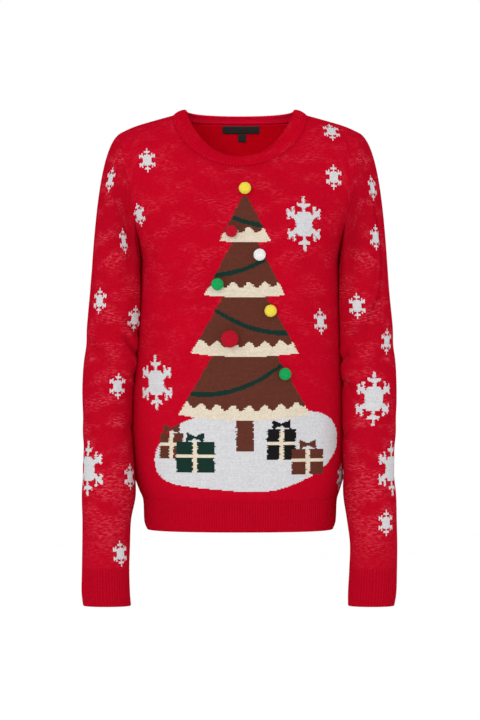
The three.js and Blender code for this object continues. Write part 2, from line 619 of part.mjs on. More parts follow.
// The ribbed collar, as one closed wall on the panels' own neckline points.
function collarGeometry() {
  const loop = necklineLoop();
  const count = loop.length;
  const baseAt = (u) => {
    const k = Math.floor(u * count) % count;
    const share = u * count - Math.floor(u * count);
    const [here, next] = [loop[k], loop[(k + 1) % count]];
    return {
      outside: here.outside.clone().lerp(next.outside, share),
      inwards: here.inwards.clone().lerp(next.inwards, share).normalize(),
      clear: here.clear.clone().lerp(next.clear, share).normalize(),
    };
  };
  const sectionAt = (u) => {
    const { outside, inwards, clear } = baseAt(u);
    const edge = collarEdge(u);
    const up = edge.clone().sub(outside).normalize();
    const outwards = inwards.clone().negate().addScaledVector(up, inwards.dot(up)).normalize();
    return { foot: outside.clone().addScaledVector(clear, SEAM_GAP * 1.1), edge, inwards, outwards };
  };
  const outerAt = (u, share, valley) => {
    const { foot, edge, inwards, outwards } = sectionAt(u);
    if (share === 0) return foot.addScaledVector(inwards, valley);
    const bulge = COLLAR_BULGE * 4 * share * (1 - share);
    return foot.lerp(edge, share).addScaledVector(outwards, bulge - valley);
  };
  const innerAt = (u, share) => {
    const { foot, edge, inwards, outwards } = sectionAt(u);
    const bulge = COLLAR_BULGE * 4 * share * (1 - share);
    const thick = inwards.clone().lerp(outwards.clone().negate(), Math.min(share * 2, 1)).normalize();
    return foot.lerp(edge, share).addScaledVector(outwards, bulge).addScaledVector(thick, COLLAR_CLOTH);
  };
  const loopLength = loop.reduce(
    (sum, { outside }, k) => sum + outside.distanceTo(loop[(k + 1) % count].outside),
    0,
  );
  const ribU = ribColumns(loopLength * 0.92, true);
  const plainU = Array.from({ length: COLLAR_BANDS }, (_, i) => i / COLLAR_BANDS);
  const outer = COLLAR_LEVELS.map((share) => ({
    points: ribU.map((u, i) => outerAt(u, share, i % 2 ? RIB_DEPTH : 0)),
    u: ribU,
  }));
  const rim = {
    points: plainU.map((u) => outerAt(u, 1, COLLAR_CLOTH / 2)),
    u: plainU,
  };
  const inner = COLLAR_LEVELS.map((share) => ({ points: plainU.map((u) => innerAt(u, share)), u: plainU }));
  return wallGeometry([...outer, rim], inner, true);
}

// A pompom sewn on the front.
function pompomMesh({ name, x, z, radius, colour }) {
  const mesh = new THREE.Mesh(new THREE.SphereGeometry(radius, 14, 8), feltMaterial(colour));
  const seat = bodyPoint("front", x, z);
  const normal = bodyNormal("front", seat);
  mesh.scale.set(1, 1, POMPOM_FLATTEN);
  mesh.quaternion.setFromUnitVectors(vector(0, 0, 1), normal);
  mesh.position.copy(seat).addScaledVector(normal, radius * POMPOM_FLATTEN);
  mesh.name = name;
  return mesh;
}

// A plain woven label against the inside of the back, made from the back's own points moved in.
function labelGeometry({ x, top, width, height, thick }) {
  const columns = 6;
  const place = (column, z, depth) => {
    const point = bodyPoint("back", x + width * (column / columns - 0.5), z);
    return point.addScaledVector(bodyNormal("back", point), -depth);
  };
  const u = Array.from({ length: columns + 1 }, (_, i) => i / columns);
  const row = (z, depth) => ({ points: u.map((_, column) => place(column, z, depth)), u });
  const near = CLOTH + LABEL_GAP;
  const heights = [top - height, top - height / 2, top];
  return wallGeometry(
    heights.map((z) => row(z, near)),
    heights.map((z) => row(z, near + thick)),
    false,
  );
}

const finish = (color, roughness) => new THREE.MeshStandardMaterial({ color, roughness, metalness: 0 });
const knitMaterial = () => finish(KNIT_RED, 0.92);
const feltMaterial = (colour) => finish(colour, 1);
const labelMaterial = () => finish(LABEL_BLACK, 0.55);

function named(name, geometry, material) {
  const mesh = new THREE.Mesh(geometry, material);
  mesh.name = name;
  return mesh;
}

const sweater = new THREE.Group();
sweater.add(named("front", panelGeometry("front"), knitMaterial()));
sweater.add(named("back", panelGeometry("back"), knitMaterial()));
sweater.add(named("sleeve_right", sleeveGeometry(-1, SLEEVE_RIGHT), knitMaterial()));
sweater.add(named("sleeve_left", sleeveGeometry(1, SLEEVE_LEFT), knitMaterial()));
sweater.add(named("collar", collarGeometry(), knitMaterial()));
sweater.add(named("neck_label", labelGeometry(LABEL), labelMaterial()));
sweater.add(named("size_tab", labelGeometry(SIZE_TAB), labelMaterial()));
for (const pompom of POMPOMS) sweater.add(pompomMesh(pompom));

export default sweater;
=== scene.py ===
import logging
import math
from dataclasses import dataclass
from enum import Enum
from typing import Sequence, Union

import bpy
import numpy as np
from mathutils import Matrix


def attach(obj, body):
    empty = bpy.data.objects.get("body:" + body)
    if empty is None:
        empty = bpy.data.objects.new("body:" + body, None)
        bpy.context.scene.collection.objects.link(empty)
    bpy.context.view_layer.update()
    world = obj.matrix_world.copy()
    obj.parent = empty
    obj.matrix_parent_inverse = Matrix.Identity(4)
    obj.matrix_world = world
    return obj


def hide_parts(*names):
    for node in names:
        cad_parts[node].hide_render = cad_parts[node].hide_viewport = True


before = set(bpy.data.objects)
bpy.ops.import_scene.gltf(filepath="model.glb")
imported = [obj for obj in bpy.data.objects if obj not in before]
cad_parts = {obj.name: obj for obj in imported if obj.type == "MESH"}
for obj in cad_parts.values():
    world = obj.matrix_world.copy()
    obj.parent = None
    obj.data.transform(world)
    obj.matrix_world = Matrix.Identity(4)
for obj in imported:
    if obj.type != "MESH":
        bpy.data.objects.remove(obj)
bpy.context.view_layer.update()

log = logging.getLogger("sweater")
Array = np.ndarray
Number = Union[float, "Shade"]

# Gauge of the knit: the width of a column of stitches and the height of a row
WALE = 0.0018
COURSE = 0.0015

# How thick the cloth is, and how far apart two panels' edges lie where they are linked
CLOTH = 0.0024
COLLAR_CLOTH = 0.0032
SEAM_GAP = 0.00003

# The 1 x 1 ribs: their pitch, the depth of their grooves and the painted shade in them, and how they end in
# plain knit
RIB_PITCH = 0.00365
RIB_DEPTH = 0.0009
RIB_PAINTED_SHADE = 0.6
RIB_FADE = 0.005

# A free edge is rounded: how far in its last row lies, and how far off the row before it is
EDGE_SUNK = 0.0007
EDGE_STEP = 0.0008

# Further than any crease or snowflake reaches
FAR = 9.0


class Side(Enum):
    """The two body panels."""

    FRONT = "front"
    BACK = "back"


class Arm(Enum):
    """The two sleeves, each by the sign of x on its side."""

    RIGHT = -1
    LEFT = 1


class Edge(Enum):
    """Which edge of a panel a row is, if it is one."""

    NONE = "none"
    HEM = "hem"
    TOP = "top"


@dataclass(frozen=True)
class Fold:
    """One soft trough of the body, or a ridge where its depth is below nothing."""

    x: float
    z: float
    long: float
    wide: float
    deep: float
    lean: float


@dataclass(frozen=True)
class ArmFold:
    """One soft trough of a sleeve: degrees round it, height, half length, half width, depth, drop."""

    round: float
    z: float
    long: float
    wide: float
    deep: float
    drop: float


@dataclass(frozen=True)
class Crease:
    """One crease of the cloth along a line of points in the cloth's own coordinates."""

    line: tuple[tuple[float, float], ...]
    wide: float
    deep: float

    def depth(self, u: Array, v: Array) -> Array:
        """Work out the crease at each place: a soft trough with a low ridge along each side.

        Args:
            u: metres of cloth across.
            v: metres of cloth up.

        Returns:
            How deep the crease is there, fading out at its ends.
        """
        away = np.full(np.broadcast(u, v).shape, FAR)
        fade = np.ones(away.shape)
        for k, ((u0, v0), (u1, v1)) in enumerate(zip(self.line, self.line[1:])):
            way_u, way_v = u1 - u0, v1 - v0
            length = way_u**2 + way_v**2
            share = np.clip(((u - u0) * way_u + (v - v0) * way_v) / length, 0, 1)
            gap = np.hypot(u - u0 - way_u * share, v - v0 - way_v * share)
            along = (k + share) / (len(self.line) - 1)
            nearer = gap < away
            fade = np.where(nearer, np.minimum(1, 5 * np.minimum(along, 1 - along)), fade)
            away = np.minimum(gap, away)
        near = (away / self.wide) ** 2
        return self.deep * fade * (1.35 * np.exp(-near) - 0.35 * np.exp(-near / 5))


@dataclass(frozen=True)
class Flake:
    """One knitted snowflake: its middle in the cloth's own coordinates, half height and lean."""

    u: float
    v: float
    size: float
    lean: float = 0.0


def unit(vectors: Array) -> Array:
    """Scale each vector to length one."""
    return vectors / np.maximum(np.linalg.norm(vectors, axis=-1, keepdims=True), 1e-12)


def stack(x: Array, y: Array, z: Array) -> Array:
    """Put coordinates together as points."""
    return np.stack(np.broadcast_arrays(x, y, z), axis=-1).astype(float)


def way_along(points: Array) -> Array:
    """Return how far along a line of points each of them is."""
    return np.concatenate([[0], np.cumsum(np.linalg.norm(np.diff(points, axis=0), axis=1))])


def hermite(t: Union[float, Array], start: Array, leave: Array, end: Array, arrive: Array) -> Array:
    """Read a smooth curve between two values.

    Args:
        t: how far along it, from 0 to 1.
        start: its value at 0.
        leave: its slope there.
        end: its value at 1.
        arrive: its slope there.

    Returns:
        The curve's value at t.
    """
    return (
        start * (2 * t**3 - 3 * t**2 + 1)
        + leave * (t**3 - 2 * t**2 + t)
        + end * (3 * t**2 - 2 * t**3)
        + arrive * (t**3 - t**2)
    )


class SmoothTable:
    """Columns of numbers by height, read as smooth curves."""

    def __init__(self, names: Sequence[str], rows: Sequence[Sequence[float]]) -> None:
        """Keep the rows in rising order with the slope of each column at each row.

        Args:
            names: the columns' names after the height.
            rows: the height and then the columns.
        """
        table = np.array(sorted(rows), dtype=float)
        self.heights = table[:, 0]
        last = len(table) - 1
        low = np.maximum(np.arange(len(table)) - 1, 0)
        high = np.minimum(np.arange(len(table)) + 1, last)
        slopes = (table[high] - table[low]) / (table[high, :1] - table[low, :1])
        self.values = {name: table[:, i + 1] for i, name in enumerate(names)}
        self.slopes = {name: slopes[:, i + 1] for i, name in enumerate(names)}

    def at(self, name: str, z: Union[float, Array]) -> Array:
        """Read one column.

        Args:
            name: the column.
            z: the heights to read it at.

        Returns:
            The column's value at each height.
        """
        heights = self.heights
        at = np.clip(z, heights[0], heights[-1])
        i = np.clip(np.searchsorted(heights, at, side="left") - 1, 0, len(heights) - 2)
        span = heights[i + 1] - heights[i]
        value, slope = self.values[name], self.slopes[name]
        t = (at - heights[i]) / span
        return hermite(t, value[i], span * slope[i], value[i + 1], span * slope[i + 1])


# Half widths and depths of the body by height, from the hem up. Above the underarm the half width is
# that of an oval whose shoulders the armholes cut off.
BODY_COLUMNS = ("right", "left", "front", "back")
BODY_ROWS = (
    (-0.597, 0.1345, 0.1345, 0.092, 0.09),
    (-0.586, 0.1385, 0.1385, 0.095, 0.093),
    (-0.553, 0.1405, 0.1405, 0.099, 0.097),
    (-0.54, 0.146, 0.1445, 0.104, 0.101),
    (-0.52, 0.153, 0.15, 0.107, 0.104),
    (-0.49, 0.158, 0.1525, 0.108, 0.105),
    (-0.45, 0.1615, 0.1535, 0.108, 0.103),
    (-0.4, 0.16, 0.1525, 0.109, 0.099),
    (-0.35, 0.155, 0.1505, 0.111, 0.097),
    (-0.3, 0.15, 0.1485, 0.114, 0.099),
    (-0.26, 0.147, 0.1465, 0.115, 0.103),
    (-0.232, 0.145, 0.145, 0.114, 0.105),
    (-0.208, 0.144, 0.144, 0.112, 0.107),
    (-0.19, 0.1475, 0.1475, 0.11, 0.108),
    (-0.17, 0.153, 0.153, 0.107, 0.108),
    (-0.145, 0.164, 0.164, 0.103, 0.1075),
    (-0.116, 0.18, 0.18, 0.097, 0.106),
    (-0.088, 0.208, 0.208, 0.089, 0.103),
    (-0.062, 0.24, 0.24, 0.086, 0.101),
    (-0.041, 0.268, 0.268, 0.0845, 0.1),
    (-0.024, 0.29, 0.29, 0.084, 0.1),
    (0.031, 0.33, 0.33, 0.084, 0.1),
)

# The folds that the solids have too, and then the smaller ones. Each is its place across, height, half
# length, half width, depth and degrees of lean.
MAIN_FOLDS = {
    Side.FRONT: (
        Fold(0.094, -0.47, 0.055, 0.02, 0.003, -8),
        Fold(-0.108, -0.43, 0.07, 0.022, 0.003, 10),
        Fold(0.118, -0.25, 0.06, 0.02, 0.0035, 28),
        Fold(-0.116, -0.262, 0.055, 0.02, 0.0035, -28),
    ),
    Side.BACK: (
        Fold(0.07, -0.45, 0.075, 0.024, 0.004, 8),
        Fold(-0.062, -0.47, 0.065, 0.022, 0.0035, -10),
        Fold(0.112, -0.24, 0.06, 0.02, 0.0035, 30),
        Fold(-0.114, -0.248, 0.06, 0.02, 0.0035, -30),
    ),
}
SMALL_FOLDS = {
    Side.FRONT: (
        Fold(0.128, -0.175, 0.03, 0.007, 0.0016, 32),
        Fold(-0.127, -0.168, 0.028, 0.007, 0.0014, -30),
        Fold(0.101, -0.5, 0.032, 0.008, 0.0014, -4),
        Fold(0.119, -0.455, 0.04, 0.009, -0.0012, -10),
        Fold(-0.128, -0.37, 0.05, 0.01, 0.0013, 8),
        Fold(-0.083, -0.517, 0.02, 0.008, 0.0011, 12),
        Fold(-0.05, -0.535, 0.013, 0.006, 0.0009, -8),
        Fold(0.02, -0.538, 0.012, 0.007, 0.0009, 6),
        Fold(0.062, -0.53, 0.016, 0.007, 0.001, -12),
        Fold(0.132, -0.35, 0.045, 0.009, 0.0013, -6),
        Fold(-0.06, -0.1, 0.03, 0.01, 0.0012, 38),
        Fold(0.066, -0.1, 0.028, 0.01, 0.0011, -36),
        Fold(0.0, -0.235, 0.05, 0.016, -0.001, 84),
        Fold(-0.02, -0.4, 0.05, 0.015, -0.0009, 80),
    ),
    Side.BACK: (
        Fold(0.125, -0.17, 0.03, 0.007, 0.0015, 30),
        Fold(-0.126, -0.178, 0.028, 0.007, 0.0015, -32),
        Fold(0.03, -0.5, 0.04, 0.01, 0.0014, 4),
        Fold(-0.1, -0.5, 0.035, 0.009, 0.0014, -6),
        Fold(0.11, -0.49, 0.035, 0.009, 0.0014, 8),
        Fold(-0.02, -0.4, 0.06, 0.014, 0.0016, -70),
        Fold(0.04, -0.33, 0.05, 0.013, 0.0013, 72),
        Fold(-0.05, -0.14, 0.04, 0.012, 0.0012, 62),
        Fold(0.06, -0.125, 0.04, 0.012, 0.0011, -64),
    ),
}


@dataclass
class BodyForm:
    """The form that the front and back lie on, with its shoulders, armholes and neckline."""

    hem: float = -0.597
    hem_swell: float = -0.586
    hem_rib_top: float = -0.553
    underarm: float = -0.208
    peak: float = 0.0341
    slope: float = 0.3
    curve: float = 0.045
    end_from: float = 0.14
    end_drop: float = 0.0043
    shoulder_drop: float = 0.15
    neck_half: float = 0.097
    shoulder_half: float = 0.174
    underarm_half: float = 0.144
    roundness: float = 2.4
    armhole_curve: float = 1.2
    front_neckline: tuple[float, float, float] = (0.0785, 1.9, 1.9)
    back_neckline: tuple[float, float, float] = (0.008, 4.0, 2.0)
    neckline_steps: int = 1200
    table: SmoothTable = SmoothTable(BODY_COLUMNS, BODY_ROWS)

    def shoulder_line(self, x: Array) -> Array:
        """Return the height of the shoulder line at x."""
        end = np.maximum(np.abs(x) - self.end_from, 0) / (self.shoulder_half - self.end_from)
        return self.peak - self.slope * np.hypot(x, self.curve) - self.end_drop * end**2

    def half_width(self, x: Array, z: Array) -> Array:
        """Return how far the oval reaches on the side that x is on."""
        return np.where(np.asarray(x) < 0, self.table.at("right", z), self.table.at("left", z))

    def fold_depth(self, folds: Sequence[Fold], x: Array, z: Array) -> Array:
        """Add up the folds at each point.

        Args:
            folds: the troughs and ridges.
            x: the points' places across.
            z: the points' heights.

        Returns:
            How deep the folds are there.
        """
        depth = np.zeros(np.broadcast(x, z).shape)
        for fold in folds:
            lean = math.radians(fold.lean)
            across = (x - fold.x) * math.cos(lean) + (z - fold.z) * math.sin(lean)
            along = (z - fold.z) * math.cos(lean) - (x - fold.x) * math.sin(lean)
            depth = depth + fold.deep * np.exp(
                -((across / fold.wide) ** 2) - (along / fold.long) ** 4
            )
        return depth

    def point(self, side: Side, x: Array, z: Array, fine: bool = True) -> Array:
        """Place points of a panel.

        Args:
            side: front or back.
            x: the points' places across.
            z: the points' heights.
            fine: whether the smaller folds are in it.

        Returns:
            The points.
        """
        x, z = np.broadcast_arrays(np.asarray(x, float), np.asarray(z, float))
        share = np.minimum(np.abs(x) / self.half_width(x, z), 1)
        oval = (1 - share**self.roundness) ** (1 / self.roundness)
        below = np.clip((self.shoulder_line(x) - z) / self.shoulder_drop, 0, 1)
        shoulder = np.sqrt(1 - (1 - below) ** 2)
        folds = self.fold_depth(MAIN_FOLDS[side], x, z)
        if fine:
            folds = folds + self.fold_depth(SMALL_FOLDS[side], x, z) * shoulder
        full = self.table.at(side.value, z) - folds
        out = SEAM_GAP / 2 + (full - SEAM_GAP / 2) * oval * shoulder
        return stack(x, -out if side is Side.FRONT else out, z)

    def normal(self, side: Side, points: Array) -> Array:
        """Work out a panel's normals at points on it.

        Args:
            side: front or back.
            points: the points.

        Returns:
            The unit normals there, out of the body.
        """
        x, z = points[..., 0], points[..., 2]
        inward = np.where(x > 0, -COURSE, COURSE)
        here = self.point(side, x, z)
        across = self.point(side, x + inward, z) - here
        down = self.point(side, x, z - COURSE) - here
        normal = unit(np.cross(across, down))
        outward = normal[..., 1] > 0 if side is Side.FRONT else normal[..., 1] < 0
        return np.where(outward[..., None], -normal, normal)

    def armhole(self, climb: Array) -> tuple[Array, Array]:
        """Place points on an armhole's edge.

        Args:
            climb: from 0 at the underarm to 1 at the shoulder.

        Returns:
            Their places across and their heights.
        """
        x = self.underarm_half + (self.shoulder_half - self.underarm_half) * climb**self.armhole_curve
        top = self.shoulder_line(np.float64(self.shoulder_half))
        return x, self.underarm + (top - self.underarm) * climb

    def neckline_half(self, side: Side, columns: int) -> Array:
        """Divide half a neckline evenly.

        Args:
            side: front or back.
            columns: how many steps to take.

        Returns:
            Its points from the middle to the corner, as x and z.
        """
        drop, across, down = self.front_neckline if side is Side.FRONT else self.back_neckline
        corner = float(self.shoulder_line(np.float64(self.neck_half)))
        angle = np.linspace(0, math.pi / 2, self.neckline_steps + 1)
        x = self.neck_half * np.sin(angle) ** (2 / across)
        z = corner - drop * np.maximum(np.cos(angle), 0) ** (2 / down)
        along = way_along(self.point(side, x, z, fine=False))
        wanted = np.linspace(0, along[-1], columns + 1)
        return np.stack([np.interp(wanted, along, x), np.interp(wanted, along, z)], axis=1)

    def cloth_place(self, side: Side, x: Array, z: Array) -> Array:
        """Measure where points lie in the cloth.

        Args:
            side: front or back.
            x: the points' places across.
            z: the points' heights.

        Returns:
            Metres of cloth from the middle, and up from the same height.
        """
        x, z = np.broadcast_arrays(np.asarray(x, float), np.asarray(z, float))
        ways = np.linspace(0, 1, 25)
        row = self.point(side, x[..., None] * ways, z[..., None] + 0 * ways, fine=False)
        across = np.linalg.norm(np.diff(row, axis=-2), axis=-1).sum(axis=-1) * np.sign(x)
        foot = np.minimum(z, self.shoulder_line(x) - self.shoulder_drop)
        heights = foot[..., None] + (z - foot)[..., None] * ways
        column = self.point(side, x[..., None] + 0 * ways, heights, fine=False)
        climb = np.linalg.norm(np.diff(column, axis=-2), axis=-1).sum(axis=-1)
        return np.stack([across, foot + climb], axis=-1)


@dataclass
class Row:
    """One row of a wall of cloth: its points, how far along each slot is, the slots' cloth
    coordinates, and how much painted shade each point has, between ribs, in a crease or just below the
    neckline."""

    points: Array
    along: Array
    cloth: Array
    valley_and_painted_shade: Union[float, Array] = 0.0


class Wall:
    """A closed wall of cloth, made of rows along its outside and its inside."""

    def __init__(self, closed: bool) -> None:
        """Start an empty wall.

        Args:
            closed: whether its rows run all the way round.
        """
        self.closed = closed
        self.outer: list[Row] = []
        self.inner: list[Row] = []

    @staticmethod
    def join(low: Array, high: Array, low_along: Array, high_along: Array) -> Array:
        """Make the triangles between two rows.

        Args:
            low: the first row's slots.
            high: the next row's slots.
            low_along: how far along the first row each slot is.
            high_along: how far along the next row each slot is.

        Returns:
            Triangles of slot numbers.
        """
        if len(low) == len(high) and np.allclose(low_along, high_along):
            first = np.stack([low[:-1], low[1:], high[:-1]], axis=1)
            second = np.stack([low[1:], high[1:], high[:-1]], axis=1)
            return np.concatenate([first, second])
        faces = []
        i = j = 0
        while i < len(low) - 1 or j < len(high) - 1:
            next_low = low_along[i + 1] if i < len(low) - 1 else math.inf
            next_high = high_along[j + 1] if j < len(high) - 1 else math.inf
            if next_low <= next_high + 1e-9:
                faces.append((low[i], low[i + 1], high[j]))
                i += 1
            else:
                faces.append((low[i], high[j + 1], high[j]))
                j += 1
        return np.array(faces)

    def end(self, slots: Sequence[Array], column: int) -> Array:
        """Close the wall at one end of its rows.

        Args:
            slots: the slots of each row, outside and then inside.
            column: 0 for the start of the rows, -1 for their end.

        Returns:
            Triangles of slot numbers.
        """
        outer = np.array([row[column] for row in slots[: len(self.outer)]])
        inner = np.array([row[column] for row in slots[len(self.outer) :][::-1]])
        ways = []
        for rows in (self.outer, self.inner):
            way = way_along(np.array([row.points[column] for row in rows]))
            ways.append(way / way[-1])
        made = self.join(outer, inner, *ways)
        return made if column else made[:, ::-1]

    def faces(self, slots: Sequence[Array]) -> tuple[Array, Array]:
        """Make all the wall's triangles.

        Args:
            slots: the slots of each row, outside and then inside.

        Returns:
            Triangles of slot numbers, and 1 for each that isn't on the outside, else 0.
        """
        rows = [*self.outer, *reversed(self.inner)]
        made, inside = [], []
        for k, row in enumerate(rows):
            other = (k + 1) % len(rows)
            made.append(self.join(slots[k], slots[other], row.along, rows[other].along))
            inside.append(int(k >= len(self.outer) - 1))
        if not self.closed:
            made += [self.end(slots, column) for column in (0, -1)]
            inside += [1, 1]
        return np.concatenate(made), np.repeat(inside, [len(faces) for faces in made])

    def build(
        self, name: str, flakes: Sequence[Flake], finishes: Sequence[bpy.types.Material]
    ) -> bpy.types.Object:
        """Make the wall's mesh, with its cloth coordinates and its nearest snowflakes.

        Args:
            name: the piece's name.
            flakes: the snowflakes knitted into its outside.
            finishes: the outside's and the inside's materials.

        Returns:
            The new piece.
        """
        rows = [*self.outer, *reversed(self.inner)]
        starts = np.cumsum([0] + [len(row.along) for row in rows])
        triangles, sides = self.faces([np.arange(*ends) for ends in zip(starts, starts[1:])])
        vertex_of, first = [], 0
        for row in rows:
            numbers = first + np.arange(len(row.points))
            vertex_of.append(np.append(numbers, first) if self.closed else numbers)
            first += len(numbers)
        vertices = np.concatenate([row.points for row in rows])
        corners = np.concatenate(vertex_of)[triangles]
        sound = (corners != np.roll(corners, 1, axis=1)).all(axis=1)
        triangles, sides, corners = triangles[sound], sides[sound], corners[sound]
        a, b, c = (vertices[corners[:, i]] for i in range(3))
        if np.einsum("ij,ij->", a, np.cross(b, c)) < 0:
            triangles, corners = triangles[:, ::-1], corners[:, ::-1]
        mesh = bpy.data.meshes.new(name)
        mesh.from_pydata(vertices.tolist(), [], corners.tolist())
        places = np.concatenate([row.cloth for row in rows])[triangles]
        layer = mesh.uv_layers.new(name="cloth")
        layer.data.foreach_set("uv", places.reshape(-1).astype(np.float32))
        self.mark_flakes(mesh, places, flakes)
        # Each point's painted shade, for lying between ribs, in a crease or just below the neckline; the knit
        # darkens its colour by it
        painted_valley_shade = np.concatenate([np.broadcast_to(row.valley_and_painted_shade, len(row.points)) for row in rows])
        attribute = mesh.attributes.new("valley_and_painted_shade", "FLOAT", "POINT")
        attribute.data.foreach_set("value", painted_valley_shade.astype(np.float32))
        mesh.polygons.foreach_set("material_index", sides.astype(np.int32))
        mesh.polygons.foreach_set("use_smooth", np.ones(len(corners), bool))
        for finish in finishes:
            mesh.materials.append(finish)
        mesh.update()
        return put_in_scene(name, mesh)

    @staticmethod
    def mark_flakes(
        mesh: bpy.types.Mesh, places: Array, flakes: Sequence[Flake], reach: float = 1.5
    ) -> None:
        """Write, for each corner, how far it is from its face's nearest snowflake, and one over its size.

        Args:
            mesh: the wall's mesh.
            places: each face's cloth coordinates.
            flakes: the snowflakes.
            reach: how many of its sizes a snowflake's mark reaches.
        """
        marks = np.full((len(places), 3, 3), FAR)
        if flakes:
            centres, sizes, leans = (
                np.array(column) for column in zip(*(((f.u, f.v), f.size, f.lean) for f in flakes))
            )
            away = np.linalg.norm(places.mean(axis=1)[:, None] - centres[None], axis=2)
            nearest = np.argmin(away / sizes[None], axis=1)
            near = away[np.arange(len(places)), nearest] < reach * sizes[nearest]
            offset = places - centres[nearest][:, None]
            offset[..., 0] -= leans[nearest][:, None] * offset[..., 1]
            marks[near, :, :2] = offset[near]
            marks[near, :, 2] = (1 / sizes[nearest])[near, None]
        attribute = mesh.attributes.new("flake", "FLOAT_VECTOR", "CORNER")
        attribute.data.foreach_set("vector", marks.reshape(-1).astype(np.float32))


def put_in_scene(name: str, data: bpy.types.ID) -> bpy.types.Object:
    """Put a new object into the scene.

    Args:
        name: its name.
        data: its mesh, light or camera.

    Returns:
        The object.
    """
    made = bpy.data.objects.new(name, data)
    bpy.context.scene.collection.objects.link(made)
    return made


def hang(piece: bpy.types.Object, node: str) -> bpy.types.Object:
    """Let a piece ride on the model in place of its solid.

    Args:
        piece: the piece.
        node: the solid's node.

    Returns:
        The piece.
    """
    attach(piece, "root")
    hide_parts(node)
    return piece


@dataclass(frozen=True)
class Grain:
    """How finely a wall of cloth is divided: the inside is coarser than the outside."""

    neck: int = 44
    shoulder: int = 26
    lower: int = 110
    upper: int = 72
    rib_steps: int = 6
    rib_rows: int = 13
    across_inside: int = 4
    up_inside: int = 4


GRAIN = Grain()


def rib_wave(way: Array) -> Array:
    """Return how deep a rib's outside lies, from 0 on its crest to 1 in its valley."""
    return (0.5 - 0.5 * np.cos(2 * math.pi * way)) ** 1.3


def rib_count(length: float) -> int:
    """Return the whole number of ribs that fit in a length."""
    return round(length / RIB_PITCH)


